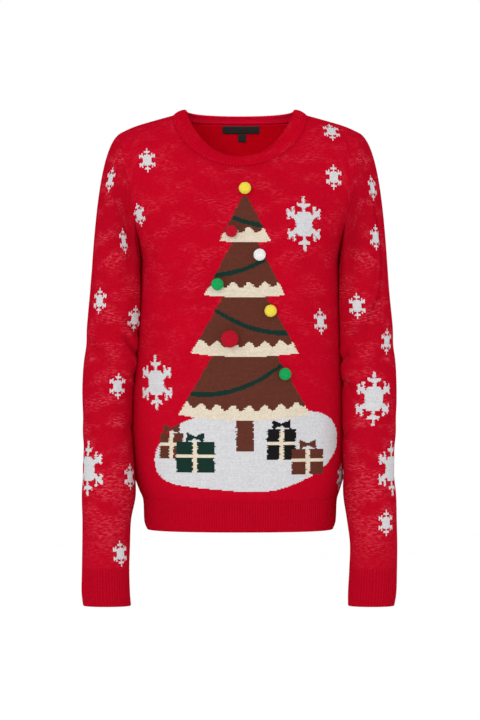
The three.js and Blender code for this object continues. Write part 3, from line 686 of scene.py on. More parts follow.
@dataclass
class Panel:
    """The front or the back, with its ribbed hem knitted in one."""

    side: Side
    form: BodyForm
    flakes: Sequence[Flake]
    flat: tuple[float, float] = (0.41, 0.68)
    cut: float = 0.24
    neck_column: float = 0.44
    hem_thinner: float = 0.0004
    # How far the panel sinks just below the neckline, how far that reaches, and how much painted shade it
    # gets there
    neck_sink: float = 0.0008
    neck_reach: float = 0.008
    neck_painted_shade: float = 0.4

    def columns(self) -> tuple[Array, Array, Array]:
        """Divide the panel across.

        Returns:
            Each column's share of the half width, and its place across and height on the top edge.
        """
        form = self.form
        neckline = form.neckline_half(self.side, GRAIN.neck)
        ways = np.arange(1, GRAIN.neck + 1) / GRAIN.neck * self.neck_column
        outer = np.arange(1, GRAIN.shoulder + 1) / GRAIN.shoulder
        shares = np.concatenate([ways, self.neck_column + (1 - self.neck_column) * outer])
        half = np.sin(math.pi / 2 * shares) ** (2 / form.roundness)
        beyond = form.neck_half + (form.shoulder_half - form.neck_half) * np.sin(math.pi / 2 * outer)
        top_x = np.concatenate([neckline[1:, 0], beyond])
        top_z = np.concatenate([neckline[1:, 1], form.shoulder_line(beyond)])
        share = np.concatenate([-half[::-1], [0], half])
        x = np.concatenate([-top_x[::-1], [0], top_x])
        z = np.concatenate([top_z[::-1], [neckline[0, 1]], top_z])
        return share, x, z

    def row(
        self,
        x: Array,
        z: Array,
        along: Array,
        sunk: Union[float, Array],
        edge: Edge = Edge.NONE,
        inside: bool = False,
        valley_and_painted_shade: Union[float, Array] = 0.0,
    ) -> Row:
        """Make one row of the wall.

        Args:
            x: the points' places across.
            z: the points' heights.
            along: how far along the row each point is.
            sunk: how far in from the form each point lies.
            edge: which edge the row is, if it is one.
            inside: whether the row is on the inside of the cloth.
            valley_and_painted_shade: how much painted shade each point has.

        Returns:
            The row.
        """
        points = self.form.point(self.side, x, z)
        normal = -self.form.normal(self.side, points)
        if edge is Edge.HEM:
            normal[:, 2] = 0
        level = np.full(len(points), edge is Edge.TOP)
        if inside:
            level &= np.abs(x) > self.form.neck_half - 1e-5
        level[[0, -1]] = True
        normal[level, 1] = 0
        points = points + unit(normal) * np.asarray(sunk)[..., None]
        return Row(points, along, self.form.cloth_place(self.side, x, z), valley_and_painted_shade)

    def wall(self) -> Wall:
        """Make the panel's wall of cloth.

        Returns:
            The wall, from the hem up.
        """
        form = self.form
        share, top_x, top_z = self.columns()
        every = np.arange(len(share))
        sparse = np.unique(np.append(every[:: GRAIN.across_inside], every[-1]))
        wall = Wall(closed=False)

        def at_height(shares: Array, z: float) -> tuple[Array, Array]:
            """Return a lower row's places across and its heights."""
            heights = np.full(len(shares), z)
            return shares * form.half_width(shares, heights), heights

        def at_climb(chosen: Array, climb: float) -> tuple[Array, Array]:
            """Place an upper row's points.

            Args:
                chosen: which of the top's points it is fanned out from.
                climb: how far up to them it is, from 0 to 1.

            Returns:
                Their places across and their heights.
            """
            across = climb**form.armhole_curve
            x = form.underarm_half * share[chosen] * (1 - across) + top_x[chosen] * across
            return x, form.underarm + (top_z[chosen] - form.underarm) * climb

        along = way_along(form.point(self.side, *at_height(share, form.hem_swell), fine=False))
        ribs = rib_count(along[-1])
        along = along / along[-1]
        rib_along = np.linspace(0, 1, ribs * GRAIN.rib_steps + 1)
        rib_share = np.interp(rib_along, along, share)
        wave = rib_wave(rib_along * ribs)
        heights = np.linspace(form.hem, form.hem_rib_top, GRAIN.rib_rows)
        for z in np.insert(heights, 1, form.hem + EDGE_STEP):
            edge, rounding = (Edge.HEM, EDGE_SUNK) if z == form.hem else (Edge.NONE, 0)
            sunk = np.maximum(wave * RIB_DEPTH, rounding)
            x, level = at_height(rib_share, z)
            # Painted shade in the grooves between the hem's ribs
            wall.outer.append(self.row(x, level, rib_along, sunk, edge, valley_and_painted_shade=wave * RIB_PAINTED_SHADE))
        for z in (form.hem, form.hem_swell, form.hem_rib_top):
            edge, thinner = (Edge.HEM, self.hem_thinner) if z == form.hem else (Edge.NONE, 0)
            x, level = at_height(share[sparse], z)
            wall.inner.append(self.row(x, level, along[sparse], CLOTH - thinner, edge, inside=True))
        low = form.hem_rib_top + RIB_FADE
        for k in range(GRAIN.lower):
            z = low + (form.underarm - low) * k / GRAIN.lower
            wall.outer.append(self.row(*at_height(share, z), along, 0.0))
            if k % GRAIN.up_inside == 0:
                wall.inner.append(self.row(*at_height(share[sparse], z), along[sparse], CLOTH, inside=True))
        for k in range(GRAIN.upper + 1):
            climb = (1 - math.cos(math.pi * k / GRAIN.upper)) / 2
            edge = Edge.TOP if k == GRAIN.upper else Edge.NONE
            x, level = at_climb(every, climb)
            away = np.hypot(x - top_x, level - top_z)
            # Painted shade just below the neckline, where the panel sinks under the collar's foot
            near = np.exp(-((away / self.neck_reach) ** 2)) * (np.abs(top_x) < form.neck_half - 1e-4)
            sunk, valley_and_painted_shade = near * self.neck_sink, near * self.neck_painted_shade
            wall.outer.append(self.row(x, level, along, sunk, edge, valley_and_painted_shade=valley_and_painted_shade))
            if k % GRAIN.up_inside == 0:
                x, level = at_climb(sparse, climb)
                wall.inner.append(self.row(x, level, along[sparse], CLOTH, edge, inside=True))
        return wall

    def make(self, *finishes: bpy.types.Material) -> bpy.types.Object:
        """Make the panel and hang it on the model.

        Args:
            finishes: its outside's and its inside's material.

        Returns:
            The panel.
        """
        piece = self.wall().build(f"{self.side.value}_panel", self.flakes, finishes)
        hang(piece, self.side.value)
        return piece


@dataclass
class Sleeve:
    """A set-in sleeve, one panel with its ribbed cuff, closed by its underarm seam."""

    arm: Arm
    form: BodyForm
    table: SmoothTable
    flakes: Sequence[Flake]
    folds: Sequence[ArmFold]
    creases: Sequence[Crease]
    flat: tuple[float, float] = (0.36, 0.68)
    cut: float = 0.162
    biceps: float = -0.265
    rib_top: float = -0.652
    cuff: float = -0.704
    clearance: float = 0.0007
    softness: float = 0.0012
    section: float = 0.92
    oval_girth: float = 1.03
    front_crease: tuple[float, float, float] = (-0.3, -0.3, -1.0)
    back_crease: tuple[float, float, float] = (0.15, 0.2, -1.0)
    crease_climb: float = 0.55
    crease_lift: float = 0.8
    # Sets how strong the creases' painted shade is: the lower, the stronger
    crease_painted_shade: float = 0.003
    leave_reach: tuple[float, float] = (0.045, 0.075)
    land_reach: tuple[float, float] = (0.165, 0.105)
    hug_below: float = 0.66
    hug_fade: float = 0.3
    calm_rings: int = 6
    around: int = 144
    cap_rings: int = 44
    arm_rings: int = 120

    @property
    def sign(self) -> int:
        """Return the sign of x on this sleeve's side."""
        return self.arm.value

    @property
    def name(self) -> str:
        """Return the name of the sleeve's node."""
        return f"sleeve_{self.arm.name.lower()}"

    def oval(self, z: Array) -> tuple[Array, Array, Array]:
        """Read the arm's section at some heights.

        Args:
            z: the heights.

        Returns:
            The section's middle across, half width and half depth.
        """
        side = self.arm.name.lower()
        outer, inner = self.table.at(f"{side}_outer", z), self.table.at(f"{side}_inner", z)
        return (outer + inner) / 2, (outer - inner) / 2, self.table.at("depth", z)

    def fold_depth(self, degrees: Array, z: Array, girth: Array) -> Array:
        """Add up the sleeve's folds at each point.

        Args:
            degrees: the points' places round the sleeve.
            z: their heights.
            girth: how far it is round the sleeve there.

        Returns:
            How deep the folds are there.
        """
        depth = np.zeros(np.broadcast(degrees, z).shape)
        for fold in self.folds:
            along = ((degrees - fold.round + 540) % 360 - 180) / 360 * girth
            across = z - fold.z - fold.drop * along
            depth = depth + fold.deep * np.exp(-((across / fold.wide) ** 2) - (along / fold.long) ** 2)
        return depth

    def arm_point(self, degrees: Array, z: Array) -> Array:
        """Place points of the arm below the biceps.

        Args:
            degrees: their places round it: 0 is outside, 90 front, 180 inside, 270 back.
            z: their heights.

        Returns:
            The points.
        """
        degrees, z = np.broadcast_arrays(np.asarray(degrees, float), np.asarray(z, float))
        middle, width, depth = self.oval(z)
        fold = self.fold_depth(degrees, z, math.pi * (width + depth))
        cos, sin = np.cos(np.radians(degrees)), np.sin(np.radians(degrees))
        x = middle + (width - fold) * np.sign(cos) * np.abs(cos) ** self.section
        y = -self.table.at("forward", z) - (depth - fold) * np.sign(sin) * np.abs(sin) ** self.section
        return self.beside_body(stack(self.sign * x, y, z), 1.0)

    def beside_body(self, points: Array, away: Union[float, Array]) -> Array:
        """Push points sideways where the body is in their way.

        Args:
            points: the sleeve's points.
            away: from 0 at the armhole to 1 where the sleeve is its full distance off.

        Returns:
            The points, clear of the body.
        """
        x, y, z = points[..., 0], points[..., 1], points[..., 2]
        reach = np.where(y < 0, self.form.table.at("front", z), self.form.table.at("back", z))
        deep = np.abs(y) / reach
        body = self.form.half_width(self.sign * np.ones_like(z), z) * (
            1 - np.minimum(deep, 1) ** self.form.roundness
        ) ** (1 / self.form.roundness)
        least = body + self.clearance * away
        softness = np.maximum(self.softness * away, 1e-6)
        over = np.clip((least - x * self.sign) / softness, -60, 60)
        pushed = np.where(over > 20, least, x * self.sign + softness * np.log1p(np.exp(over)))
        free = (deep >= 1) | (z < self.form.hem)
        return stack(np.where(free, x, self.sign * pushed), y, z)

    def start(self, side: Side, climb: float) -> tuple[Array, Array, Array]:
        """Work out how the sleeve starts at a point of the armhole.

        Args:
            side: front or back.
            climb: from 0 at the underarm to 1 at the shoulder.

        Returns:
            The point on the body's edge, the way clear of it, and the way the sleeve's cloth leaves.
        """
        form = self.form

        def edge_at(share: float) -> Array:
            """Return the armhole's edge on the body."""
            x, z = form.armhole(np.float64(min(max(share, 0), 1)))
            return form.point(side, self.sign * x, z, fine=False)

        point = edge_at(climb)
        tip = climb > 0.999 or climb < 0.001
        if tip:
            point[1] = 0
        normal = form.normal(side, point[None])[0]
        if tip:
            normal[1] = 0
            normal = unit(normal)
        along = np.array([0.0, 1.0, 0.0]) if tip else unit(edge_at(climb + 0.01) - edge_at(climb - 0.01))
        across = unit(np.cross(along, normal))
        if across[0] * self.sign + across[2] * (0 if climb > 0.999 else 0.5) < 0:
            across = -across
        share = np.clip((self.crease_climb - climb) / (self.crease_climb - 0.1), 0, 1)
        under = share * share * (3 - 2 * share)
        out, ahead, down = self.front_crease if side is Side.FRONT else self.back_crease
        crease = unit(np.array([self.sign * out, ahead * min(climb / 0.2, 1), down]))
        clear = unit(across + normal * self.crease_lift * under)
        leave = unit(across * (1 - under) + crease * under)
        return point, clear, leave

    def rings(self) -> tuple[Array, Array]:
        """Place the sleeve's plain rings, from the armhole to the cuff's ribs.

        Returns:
            Each ring's points, from the underarm up the back and down the front again, and the same
            points a little further down.
        """
        half = self.around // 2
        order = (np.arange(self.around) + half) % self.around
        degrees = 360 * order / self.around
        climbs = (1 - np.cos(math.pi * np.abs(half - order) / half)) / 2
        sides = [Side.FRONT if k <= half else Side.BACK for k in order]
        starts = [self.start(side, climb) for side, climb in zip(sides, climbs)]
        point, clear, leave = (np.array([s[i] for s in starts]) for i in range(3))
        end = self.arm_point(degrees, self.biceps)
        down = unit(self.arm_point(degrees, self.biceps - 0.006) - end)
        reach = (self.leave_reach[0] + self.leave_reach[1] * climbs**1.5)[:, None]
        land = (self.land_reach[0] - self.land_reach[1] * (1 - climbs) ** 2)[:, None]

        def cap(t: float) -> Array:
            """Place one ring of the cap.

            Args:
                t: how far down the cap it is, from 0 to 1.

            Returns:
                Its points, pushed clear of the body near the underarm.
            """
            ring = hermite(t, point + clear * SEAM_GAP, leave * reach, end, down * land)
            pushed = self.beside_body(ring, min(0.1 + 2 * t, 1))
            low = np.clip((self.hug_below - climbs) / self.hug_fade, 0, 1)[:, None] * (t > 0)
            return ring + (pushed - ring) * low * low * (3 - 2 * low)

        tops = np.arange(self.cap_rings) / self.cap_rings
        outside = [cap(t) for t in tops]
        ahead = [cap(t + 0.01) for t in tops]
        for z in np.linspace(self.biceps, self.rib_top + RIB_FADE, self.arm_rings + 1):
            outside.append(self.arm_point(degrees, z))
            ahead.append(self.arm_point(degrees, z - 0.002))
        return np.array(outside), np.array(ahead)

    @staticmethod
    def cloth_round(ring: Array, v: Array) -> Array:
        """Measure where a ring lies in the cloth.

        Args:
            ring: its points.
            v: how far up the cloth each of them is.

        Returns:
            The way round from the sleeve's outer line towards the front and the way up, with the
            first point once more at the end.
        """
        way = way_along(np.concatenate([ring, ring[:1]]))
        outer_line = np.interp(0.5, np.linspace(0, 1, len(way)), way)
        return np.stack([way - outer_line, np.append(v, v[0])], axis=1)

    def wall(self) -> Wall:
        """Make the sleeve's wall of cloth.

        Returns:
            The wall, from the armhole down.
        """
        outside, ahead = self.rings()
        middle = outside.mean(axis=1, keepdims=True)
        around = np.roll(outside, -1, axis=1) - np.roll(outside, 1, axis=1)
        inwards = unit(np.cross(around, ahead - outside))
        turned = np.einsum("ijk,ijk->ij", inwards, middle - outside) < 0
        inwards = np.where(turned[..., None], -inwards, inwards)
        drop = np.linalg.norm(np.diff(outside, axis=0), axis=2)
        top = drop[: self.cap_rings].sum(axis=0)
        down = np.concatenate([np.zeros((1, self.around)), np.cumsum(drop, axis=0)]) - top - self.biceps
        along = np.arange(self.around + 1) / self.around
        wall = Wall(closed=True)
        sparse = np.arange(0, self.around, GRAIN.across_inside)
        sharp = np.array([[crease.deep / crease.wide] for crease in self.creases]) / self.crease_painted_shade
        for k, ring in enumerate(outside):
            cloth = self.cloth_round(ring, -down[k])
            calm = min(k / self.calm_rings, (len(outside) - 1 - k) / self.calm_rings, 1)
            depths = np.array([crease.depth(cloth[:-1, 0], cloth[:-1, 1]) for crease in self.creases])
            depth = calm * depths.sum(axis=0)
            # Painted shade in the creases, more where a crease is deeper and narrower
            valley_and_painted_shade = np.clip(calm * (depths * sharp).sum(axis=0), 0, 1)
            wall.outer.append(Row(ring + inwards[k] * depth[:, None], along, cloth, valley_and_painted_shade))
            if k % GRAIN.up_inside == 0 or k == len(outside) - 1:
                inner = ring[sparse] + inwards[k][sparse] * (CLOTH + depth[sparse, None])
                picked = np.append(sparse, self.around)
                wall.inner.append(Row(inner, along[picked], cloth[picked]))
        self.add_cuff(wall, down[-1])
        return wall

    def add_cuff(self, wall: Wall, down: Array) -> None:
        """Add the cuff's ribs below the plain sleeve.

        Args:
            wall: the sleeve's wall so far.
            down: how far down the arm each column's last ring is.
        """
        _, width, depth = self.oval(self.cuff)
        ribs = rib_count(math.pi * self.oval_girth * float(width + depth))
        steps = ribs * GRAIN.rib_steps
        along = np.arange(steps + 1) / steps
        wave = rib_wave((along[:-1] * ribs + 0.5) % 1)
        coarse = np.append(np.arange(0, self.around, GRAIN.across_inside), self.around) / self.around
        heights = np.linspace(self.rib_top, self.cuff + EDGE_STEP, GRAIN.rib_rows)
        heights = np.append(heights, self.cuff)

        def ring_at(way: Array, z: float, sunk: Union[float, Array]) -> Array:
            """Place one ring of the cuff.

            Args:
                way: its points' way round the arm.
                z: its height.
                sunk: how far in from the cloth's outside it lies.

            Returns:
                Its points.
            """
            ring = self.arm_point((360 * way[:-1] + 180) % 360, z)
            towards = ring.mean(axis=0) - ring
            towards[:, 2] = 0
            return ring + unit(towards) * np.asarray(sunk)[..., None]

        for z in heights:
            v = np.full(steps, z - self.rib_top - RIB_FADE - np.mean(down))
            cloth = self.cloth_round(ring_at(along, z, 0.0), v)
            deep = np.maximum(wave * RIB_DEPTH, EDGE_SUNK if z == self.cuff else 0)
            # Painted shade in the grooves between the cuff's ribs
            wall.outer.append(Row(ring_at(along, z, deep), along, cloth, wave * RIB_PAINTED_SHADE))
            if z in (heights[0], heights[len(heights) // 2 - 1], heights[-1]):
                places = np.stack([np.interp(coarse, along, cloth[:, 0]), np.full(len(coarse), v[0])], axis=1)
                wall.inner.append(Row(ring_at(coarse, z, CLOTH), coarse, places))

    def make(self, *finishes: bpy.types.Material) -> bpy.types.Object:
        """Make the sleeve and hang it on the model.

        Args:
            finishes: its outside's and its inside's material.

        Returns:
            The sleeve.
        """
        piece = self.wall().build(f"{self.name}_cloth", self.flakes, finishes)
        hang(piece, self.name)
        return piece


@dataclass
class Collar:
    """The ribbed neck band, linked on round the neckline."""

    form: BodyForm
    half_width: float = 0.078
    front: tuple[float, float] = (-0.066, -0.061)
    back: tuple[float, float] = (0.049, 0.006)
    side_z: float = 0.011
    bulge: float = 0.0022
    flat: tuple[float, float] = (0.46, 0.038)
    cut: float = 0.0155
    rim_sunk: float = 0.0017
    rim_ribs: float = 0.3
    rim_from: float = 0.91
    rim_rounding: float = 0.0011
    snug: float = 0.92
    quarter: int = 40
    bands: int = 72
    outer_rows: tuple[float, ...] = (0.0, 0.06, 0.15, 0.28, 0.42, 0.56, 0.7, 0.82, 0.91, 0.955, 0.985)
    inner_rows: tuple[float, ...] = (0.0, 0.25, 0.5, 0.75, 0.94)

    def edge(self, way: Array) -> Array:
        """Place points on the free edge.

        Args:
            way: their way round the neck: 0 is the front, 0.25 the wearer's left.

        Returns:
            The points.
        """
        angle = 2 * math.pi * way
        towards = np.cos(angle)
        ahead = towards > 0
        amount = np.abs(towards)
        y = np.where(ahead, self.front[0], self.back[0]) * amount**0.95
        height = np.where(ahead, self.front[1], self.back[1]) - self.side_z
        x = self.half_width * np.sign(np.sin(angle)) * np.abs(np.sin(angle)) ** 0.9
        return stack(x, y, self.side_z + height * amount ** np.where(ahead, 1.6, 0.7))

    def foot(self) -> tuple[Array, Array, Array]:
        """Place the neckline.

        Returns:
            Its points from the middle of the front towards the wearer's left, the way in through
            the panels' cloth at each, and the way clear of its edge.
        """
        quarters = {}
        for side in Side:
            half = self.form.neckline_half(side, self.quarter)
            for sign in (1, -1):
                points = self.form.point(side, sign * half[:, 0], half[:, 1], fine=False)
                inwards = -self.form.normal(side, points)
                points[-1, 1] = 0
                inwards[-1, 1] = 0
                quarters[side, sign] = (points, unit(inwards))
        pick = [
            (Side.FRONT, 1, slice(None)), (Side.BACK, 1, slice(-2, None, -1)),
            (Side.BACK, -1, slice(1, None)), (Side.FRONT, -1, slice(-2, 0, -1)),
        ]
        points = np.concatenate([quarters[side, sign][0][cut] for side, sign, cut in pick])
        inwards = np.concatenate([quarters[side, sign][1][cut] for side, sign, cut in pick])
        clear = unit(np.cross(np.roll(points, -1, axis=0) - np.roll(points, 1, axis=0), inwards))
        towards = stack(-points[:, 0], -points[:, 1], np.full(len(points), 0.06))
        clear = np.where((np.einsum("ij,ij->i", clear, towards) < 0)[:, None], -clear, clear)
        return points, inwards, clear

    def wall(self) -> Wall:
        """Make the collar's wall of cloth.

        Returns:
            The wall, from the neckline to the free edge.
        """
        points, inwards, clear = self.foot()
        count = len(points)
        length = np.linalg.norm(np.diff(points, axis=0, append=points[:1]), axis=1).sum()
        ribs = rib_count(length * self.snug)

        def around(values: Array, way: Array) -> Array:
            """Read values at any way round the neckline.

            Args:
                values: one for each of the neckline's points.
                way: the ways round it.

            Returns:
                The values there.
            """
            closed = np.concatenate([values, values[:1]])
            at = way * count
            return np.stack([np.interp(at, np.arange(count + 1), closed[:, i]) for i in range(3)], axis=1)

        def ring(way: Array, share: float, valley_and_painted_shade: Array, thick: float) -> Array:
            """Place one ring of the collar.

            Args:
                way: its points' way round the neck.
                share: how far up the collar it is, from 0 at the neckline to 1 at the free edge.
                valley_and_painted_shade: how deep in a rib's valley each point lies.
                thick: how far in through the cloth the ring lies.

            Returns:
                Its points.
            """
            foot = around(points, way)
            inward = unit(around(inwards, way))
            base = foot + unit(around(clear, way)) * SEAM_GAP
            edge = self.edge(way)
            up = unit(edge - foot)
            outwards = unit(-inward + up * np.einsum("ij,ij->i", inward, up)[:, None])
            rise = self.bulge * 4 * share * (1 - share)
            if share == 0:
                return base + inward * (valley_and_painted_shade[:, None] + thick)
            through = unit(inward * (1 - min(share * 2, 1)) - outwards * min(share * 2, 1))
            place = base * (1 - share) + edge * share + outwards * (rise - valley_and_painted_shade[:, None])
            return place + through * thick

        def add(rows: list[Row], way: Array, share: float, valley_and_painted_shade: Array, thick: float, painted_shade: Array) -> None:
            """Add one row of the collar, at that share of the way up it."""
            cloth = np.stack([way * length, np.full(len(way), share * self.flat[1])], axis=1)
            rows.append(Row(ring(way[:-1], share, valley_and_painted_shade, thick), way, cloth, painted_shade))

        steps = ribs * GRAIN.rib_steps
        along = np.arange(steps + 1) / steps
        plain = np.arange(self.bands + 1) / self.bands
        wave = rib_wave(along[:-1] * ribs)
        none = np.zeros(self.bands)
        wall = Wall(closed=True)
        rim_reach = self.outer_rows[-1] - self.rim_from
        for share in self.outer_rows:
            rounding = self.rim_rounding * max(share - self.rim_from, 0) / rim_reach
            # Painted shade in the grooves between the collar's ribs
            add(wall.outer, along, share, wave * RIB_DEPTH + rounding, 0, wave * RIB_PAINTED_SHADE)
        rim = wave * RIB_DEPTH * self.rim_ribs + self.rim_sunk
        add(wall.outer, along, 1.0, rim, 0, 0 * wave)
        for share in self.inner_rows:
            add(wall.inner, plain, share, none, COLLAR_CLOTH if share else CLOTH, none)
        return wall

    def make(self, *finishes: bpy.types.Material) -> bpy.types.Object:
        """Make the collar and hang it on the model.

        Args:
            finishes: its outside's and its inside's material.

        Returns:
            The collar.
        """
        piece = self.wall().build("collar_band", (), finishes)
        hang(piece, "collar")
        return piece


@dataclass
class Label:
    """A plain woven label against the inside of the back, left bare."""

    name: str
    form: BodyForm
    x: float
    top: float
    width: float
    height: float
    thick: float
    gap: float = 0.0009
    columns: int = 24
    rows: int = 8

    def line(self, z: float, depth: Array) -> Row:
        """Make one row of the label.

        Args:
            z: its height.
            depth: how far in from the back's outside each column is.

        Returns:
            The row.
        """
        way = np.linspace(0, 1, self.columns + 1)
        x = self.x + self.width * (way - 0.5)
        points = self.form.point(Side.BACK, x, np.full(len(x), z), fine=False)
        points = points - self.form.normal(Side.BACK, points) * depth[:, None]
        cloth = np.stack([x - self.x, np.full(len(x), z - self.top)], axis=1)
        return Row(points, way, cloth)

    def make(self, finish: bpy.types.Material) -> bpy.types.Object:
        """Make the label and hang it on the model.

        Args:
            finish: its material.

        Returns:
            The label.
        """
        wall = Wall(closed=False)
        way = np.linspace(0, 1, self.columns + 1)
        near = CLOTH + self.gap
        for z in np.linspace(self.top - self.height, self.top, self.rows + 1):
            edge = min(self.top - z, z - self.top + self.height) / self.height
            soft = 0.0003 * math.exp(-edge * 18)
            ends = 0.0002 * np.exp(-np.minimum(way, 1 - way) * 60)
            wall.outer.append(self.line(z, near + soft + ends))
            wall.inner.append(self.line(z, near + self.thick - soft - ends))
        piece = wall.build(f"{self.name}_cloth", (), (finish, finish))
        hang(piece, self.name)
        return piece


@dataclass
class Pompom:
    """A pompom of cut yarn, sewn on the front by its middle."""

    name: str
    form: BodyForm
    x: float
    z: float
    radius: float
    slot: str
    seed: int
    flatten: float = 0.92
    core: float = 0.945
    root: float = 0.55
    usual_radius: float = 0.0086
    usual_tufts: int = 520
    sections: tuple[tuple[float, float], ...] = ((0.55, 0.0005), (0.97, 0.0005), (1.0, 0.00022))

    def tufts(self) -> tuple[Array, list[tuple[int, ...]]]:
        """Make the yarn's ends round a middle at the origin, facing +Z.

        Returns:
            Their points and faces.
        """
        rng = np.random.default_rng(self.seed)
        count = int(self.usual_tufts * (self.radius / self.usual_radius) ** 2)
        k = np.arange(count) + 0.5
        polar = np.arccos(1 - 2 * k / count)
        turn = math.pi * (1 + 5**0.5) * k
        way = np.stack([np.cos(turn) * np.sin(polar), np.sin(turn) * np.sin(polar), np.cos(polar)], axis=1)
        way = unit(way + rng.normal(0, 0.05, way.shape))
        lean = unit(way + rng.normal(0, 0.16, way.shape))
        side = unit(np.cross(lean, rng.normal(0, 1, way.shape)))
        other = np.cross(lean, side)
        length = self.radius * rng.uniform(0.97, 1.03, count)
        points, faces = [], []
        for share, thick in self.sections:
            out = (length - self.radius * self.root) * (share - self.root) / (1 - self.root)
            base = way * (self.radius * self.root) + lean * out[:, None]
            for corner in range(4):
                angle = math.pi / 2 * corner
                ring = side * math.cos(angle) + other * math.sin(angle)
                points.append(base + ring * thick)
        stacked = np.stack(points, axis=1)
        for tuft in range(count):
            first = tuft * 12
            for level in (0, 4):
                for corner in range(4):
                    a, b = first + level + corner, first + level + (corner + 1) % 4
                    faces.append((a, b, b + 4, a + 4))
            faces.append((first + 8, first + 9, first + 10, first + 11))
            faces.append((first + 3, first + 2, first + 1, first))
        return stacked.reshape(-1, 3), faces

    def make(self, finish: bpy.types.Material) -> bpy.types.Object:
        """Make the pompom and sew it on the front.

        Args:
            finish: its material.

        Returns:
            The pompom.
        """
        seat = self.form.point(Side.FRONT, np.array([self.x]), np.array([self.z]), fine=False)
        normal = self.form.normal(Side.FRONT, seat)[0]
        middle = seat[0] + normal * self.radius * self.flatten
        side = unit(np.cross(np.array([0.0, 0.0, 1.0]), normal))
        upward = np.cross(normal, side)
        turn = np.stack([side, upward, normal * self.flatten])
        bpy.ops.object.select_all(action="DESELECT")
        bpy.ops.mesh.primitive_ico_sphere_add(subdivisions=4, radius=self.radius * self.core)
        core = bpy.context.active_object
        mesh = core.data
        core_points = np.array([vertex.co[:] for vertex in mesh.vertices]) @ turn + middle
        core_faces = [tuple(face.vertices) for face in mesh.polygons]
        bpy.data.objects.remove(core)
        bpy.data.meshes.remove(mesh)
        points, faces = self.tufts()
        shifted = [tuple(i + len(core_points) for i in face) for face in faces]
        points = np.concatenate([core_points, points @ turn + middle])
        made = bpy.data.meshes.new(f"{self.name}_yarn")
        made.from_pydata(points.tolist(), [], core_faces + shifted)
        made.materials.append(finish)
        made.update()
        return hang(put_in_scene(made.name, made), self.name)


class Shade:
    """A number in a material, used in Python expressions that add its Math nodes."""

    def __init__(self, nodes: "Nodes", socket: bpy.types.NodeSocket) -> None:
        """Wrap a socket of these nodes."""
        self.nodes = nodes
        self.socket = socket

    def math(self, operation: str, *values: Number) -> "Shade":
        """Add one Math node.

        Args:
            operation: the node's operation.
            values: its inputs in order.

        Returns:
            The result.
        """
        node = self.nodes.add("ShaderNodeMath", {"operation": operation}, dict(enumerate(values)))
        return Shade(self.nodes, node.outputs[0])

    def __add__(self, other: Number) -> "Shade":
        """Return the sum."""
        return self.math("ADD", self, other)

    def __radd__(self, other: Number) -> "Shade":
        """Return the sum."""
        return self.math("ADD", other, self)

    def __sub__(self, other: Number) -> "Shade":
        """Return the difference."""
        return self.math("SUBTRACT", self, other)

    def __rsub__(self, other: Number) -> "Shade":
        """Return the difference, the other way round."""
        return self.math("SUBTRACT", other, self)

    def __mul__(self, other: Number) -> "Shade":
        """Return the product; of two masks, where both are."""
        return self.math("MULTIPLY", self, other)

    def __rmul__(self, other: Number) -> "Shade":
        """Return the product."""
        return self.math("MULTIPLY", other, self)

    def __rtruediv__(self, other: Number) -> "Shade":
        """Return the quotient."""
        return self.math("DIVIDE", other, self)

    def __lt__(self, other: Number) -> "Shade":
        """Return a mask where this is less."""
        return self.math("LESS_THAN", self, other)

    def __gt__(self, other: Number) -> "Shade":
        """Return a mask where this is more."""
        return self.math("GREATER_THAN", self, other)

    def __abs__(self) -> "Shade":
        """Return the size without its sign."""
        return self.math("ABSOLUTE", self)

    def __or__(self, other: Number) -> "Shade":
        """Return the larger; of two masks, where either is."""
        return self.math("MAXIMUM", self, other)

    def above(self, least: float) -> "Shade":
        """Return this, but never less than that."""
        return self.math("MAXIMUM", self, least)

    def between(self, least: float, most: float) -> "Shade":
        """Return this, kept between two numbers."""
        kept = self.above(least)
        return kept.math("MINIMUM", kept, most)

    def fraction(self) -> "Shade":
        """Return what is past the whole number."""
        return self.math("FRACT", self)

    def stitch(self, size: float) -> "Shade":
        """Return the middle of the stitch that this lies in."""
        return (self.math("FLOOR", self * (1 / size)) + 0.5) * size

    def sine(self) -> "Shade":
        """Return the sine."""
        return self.math("SINE", self)


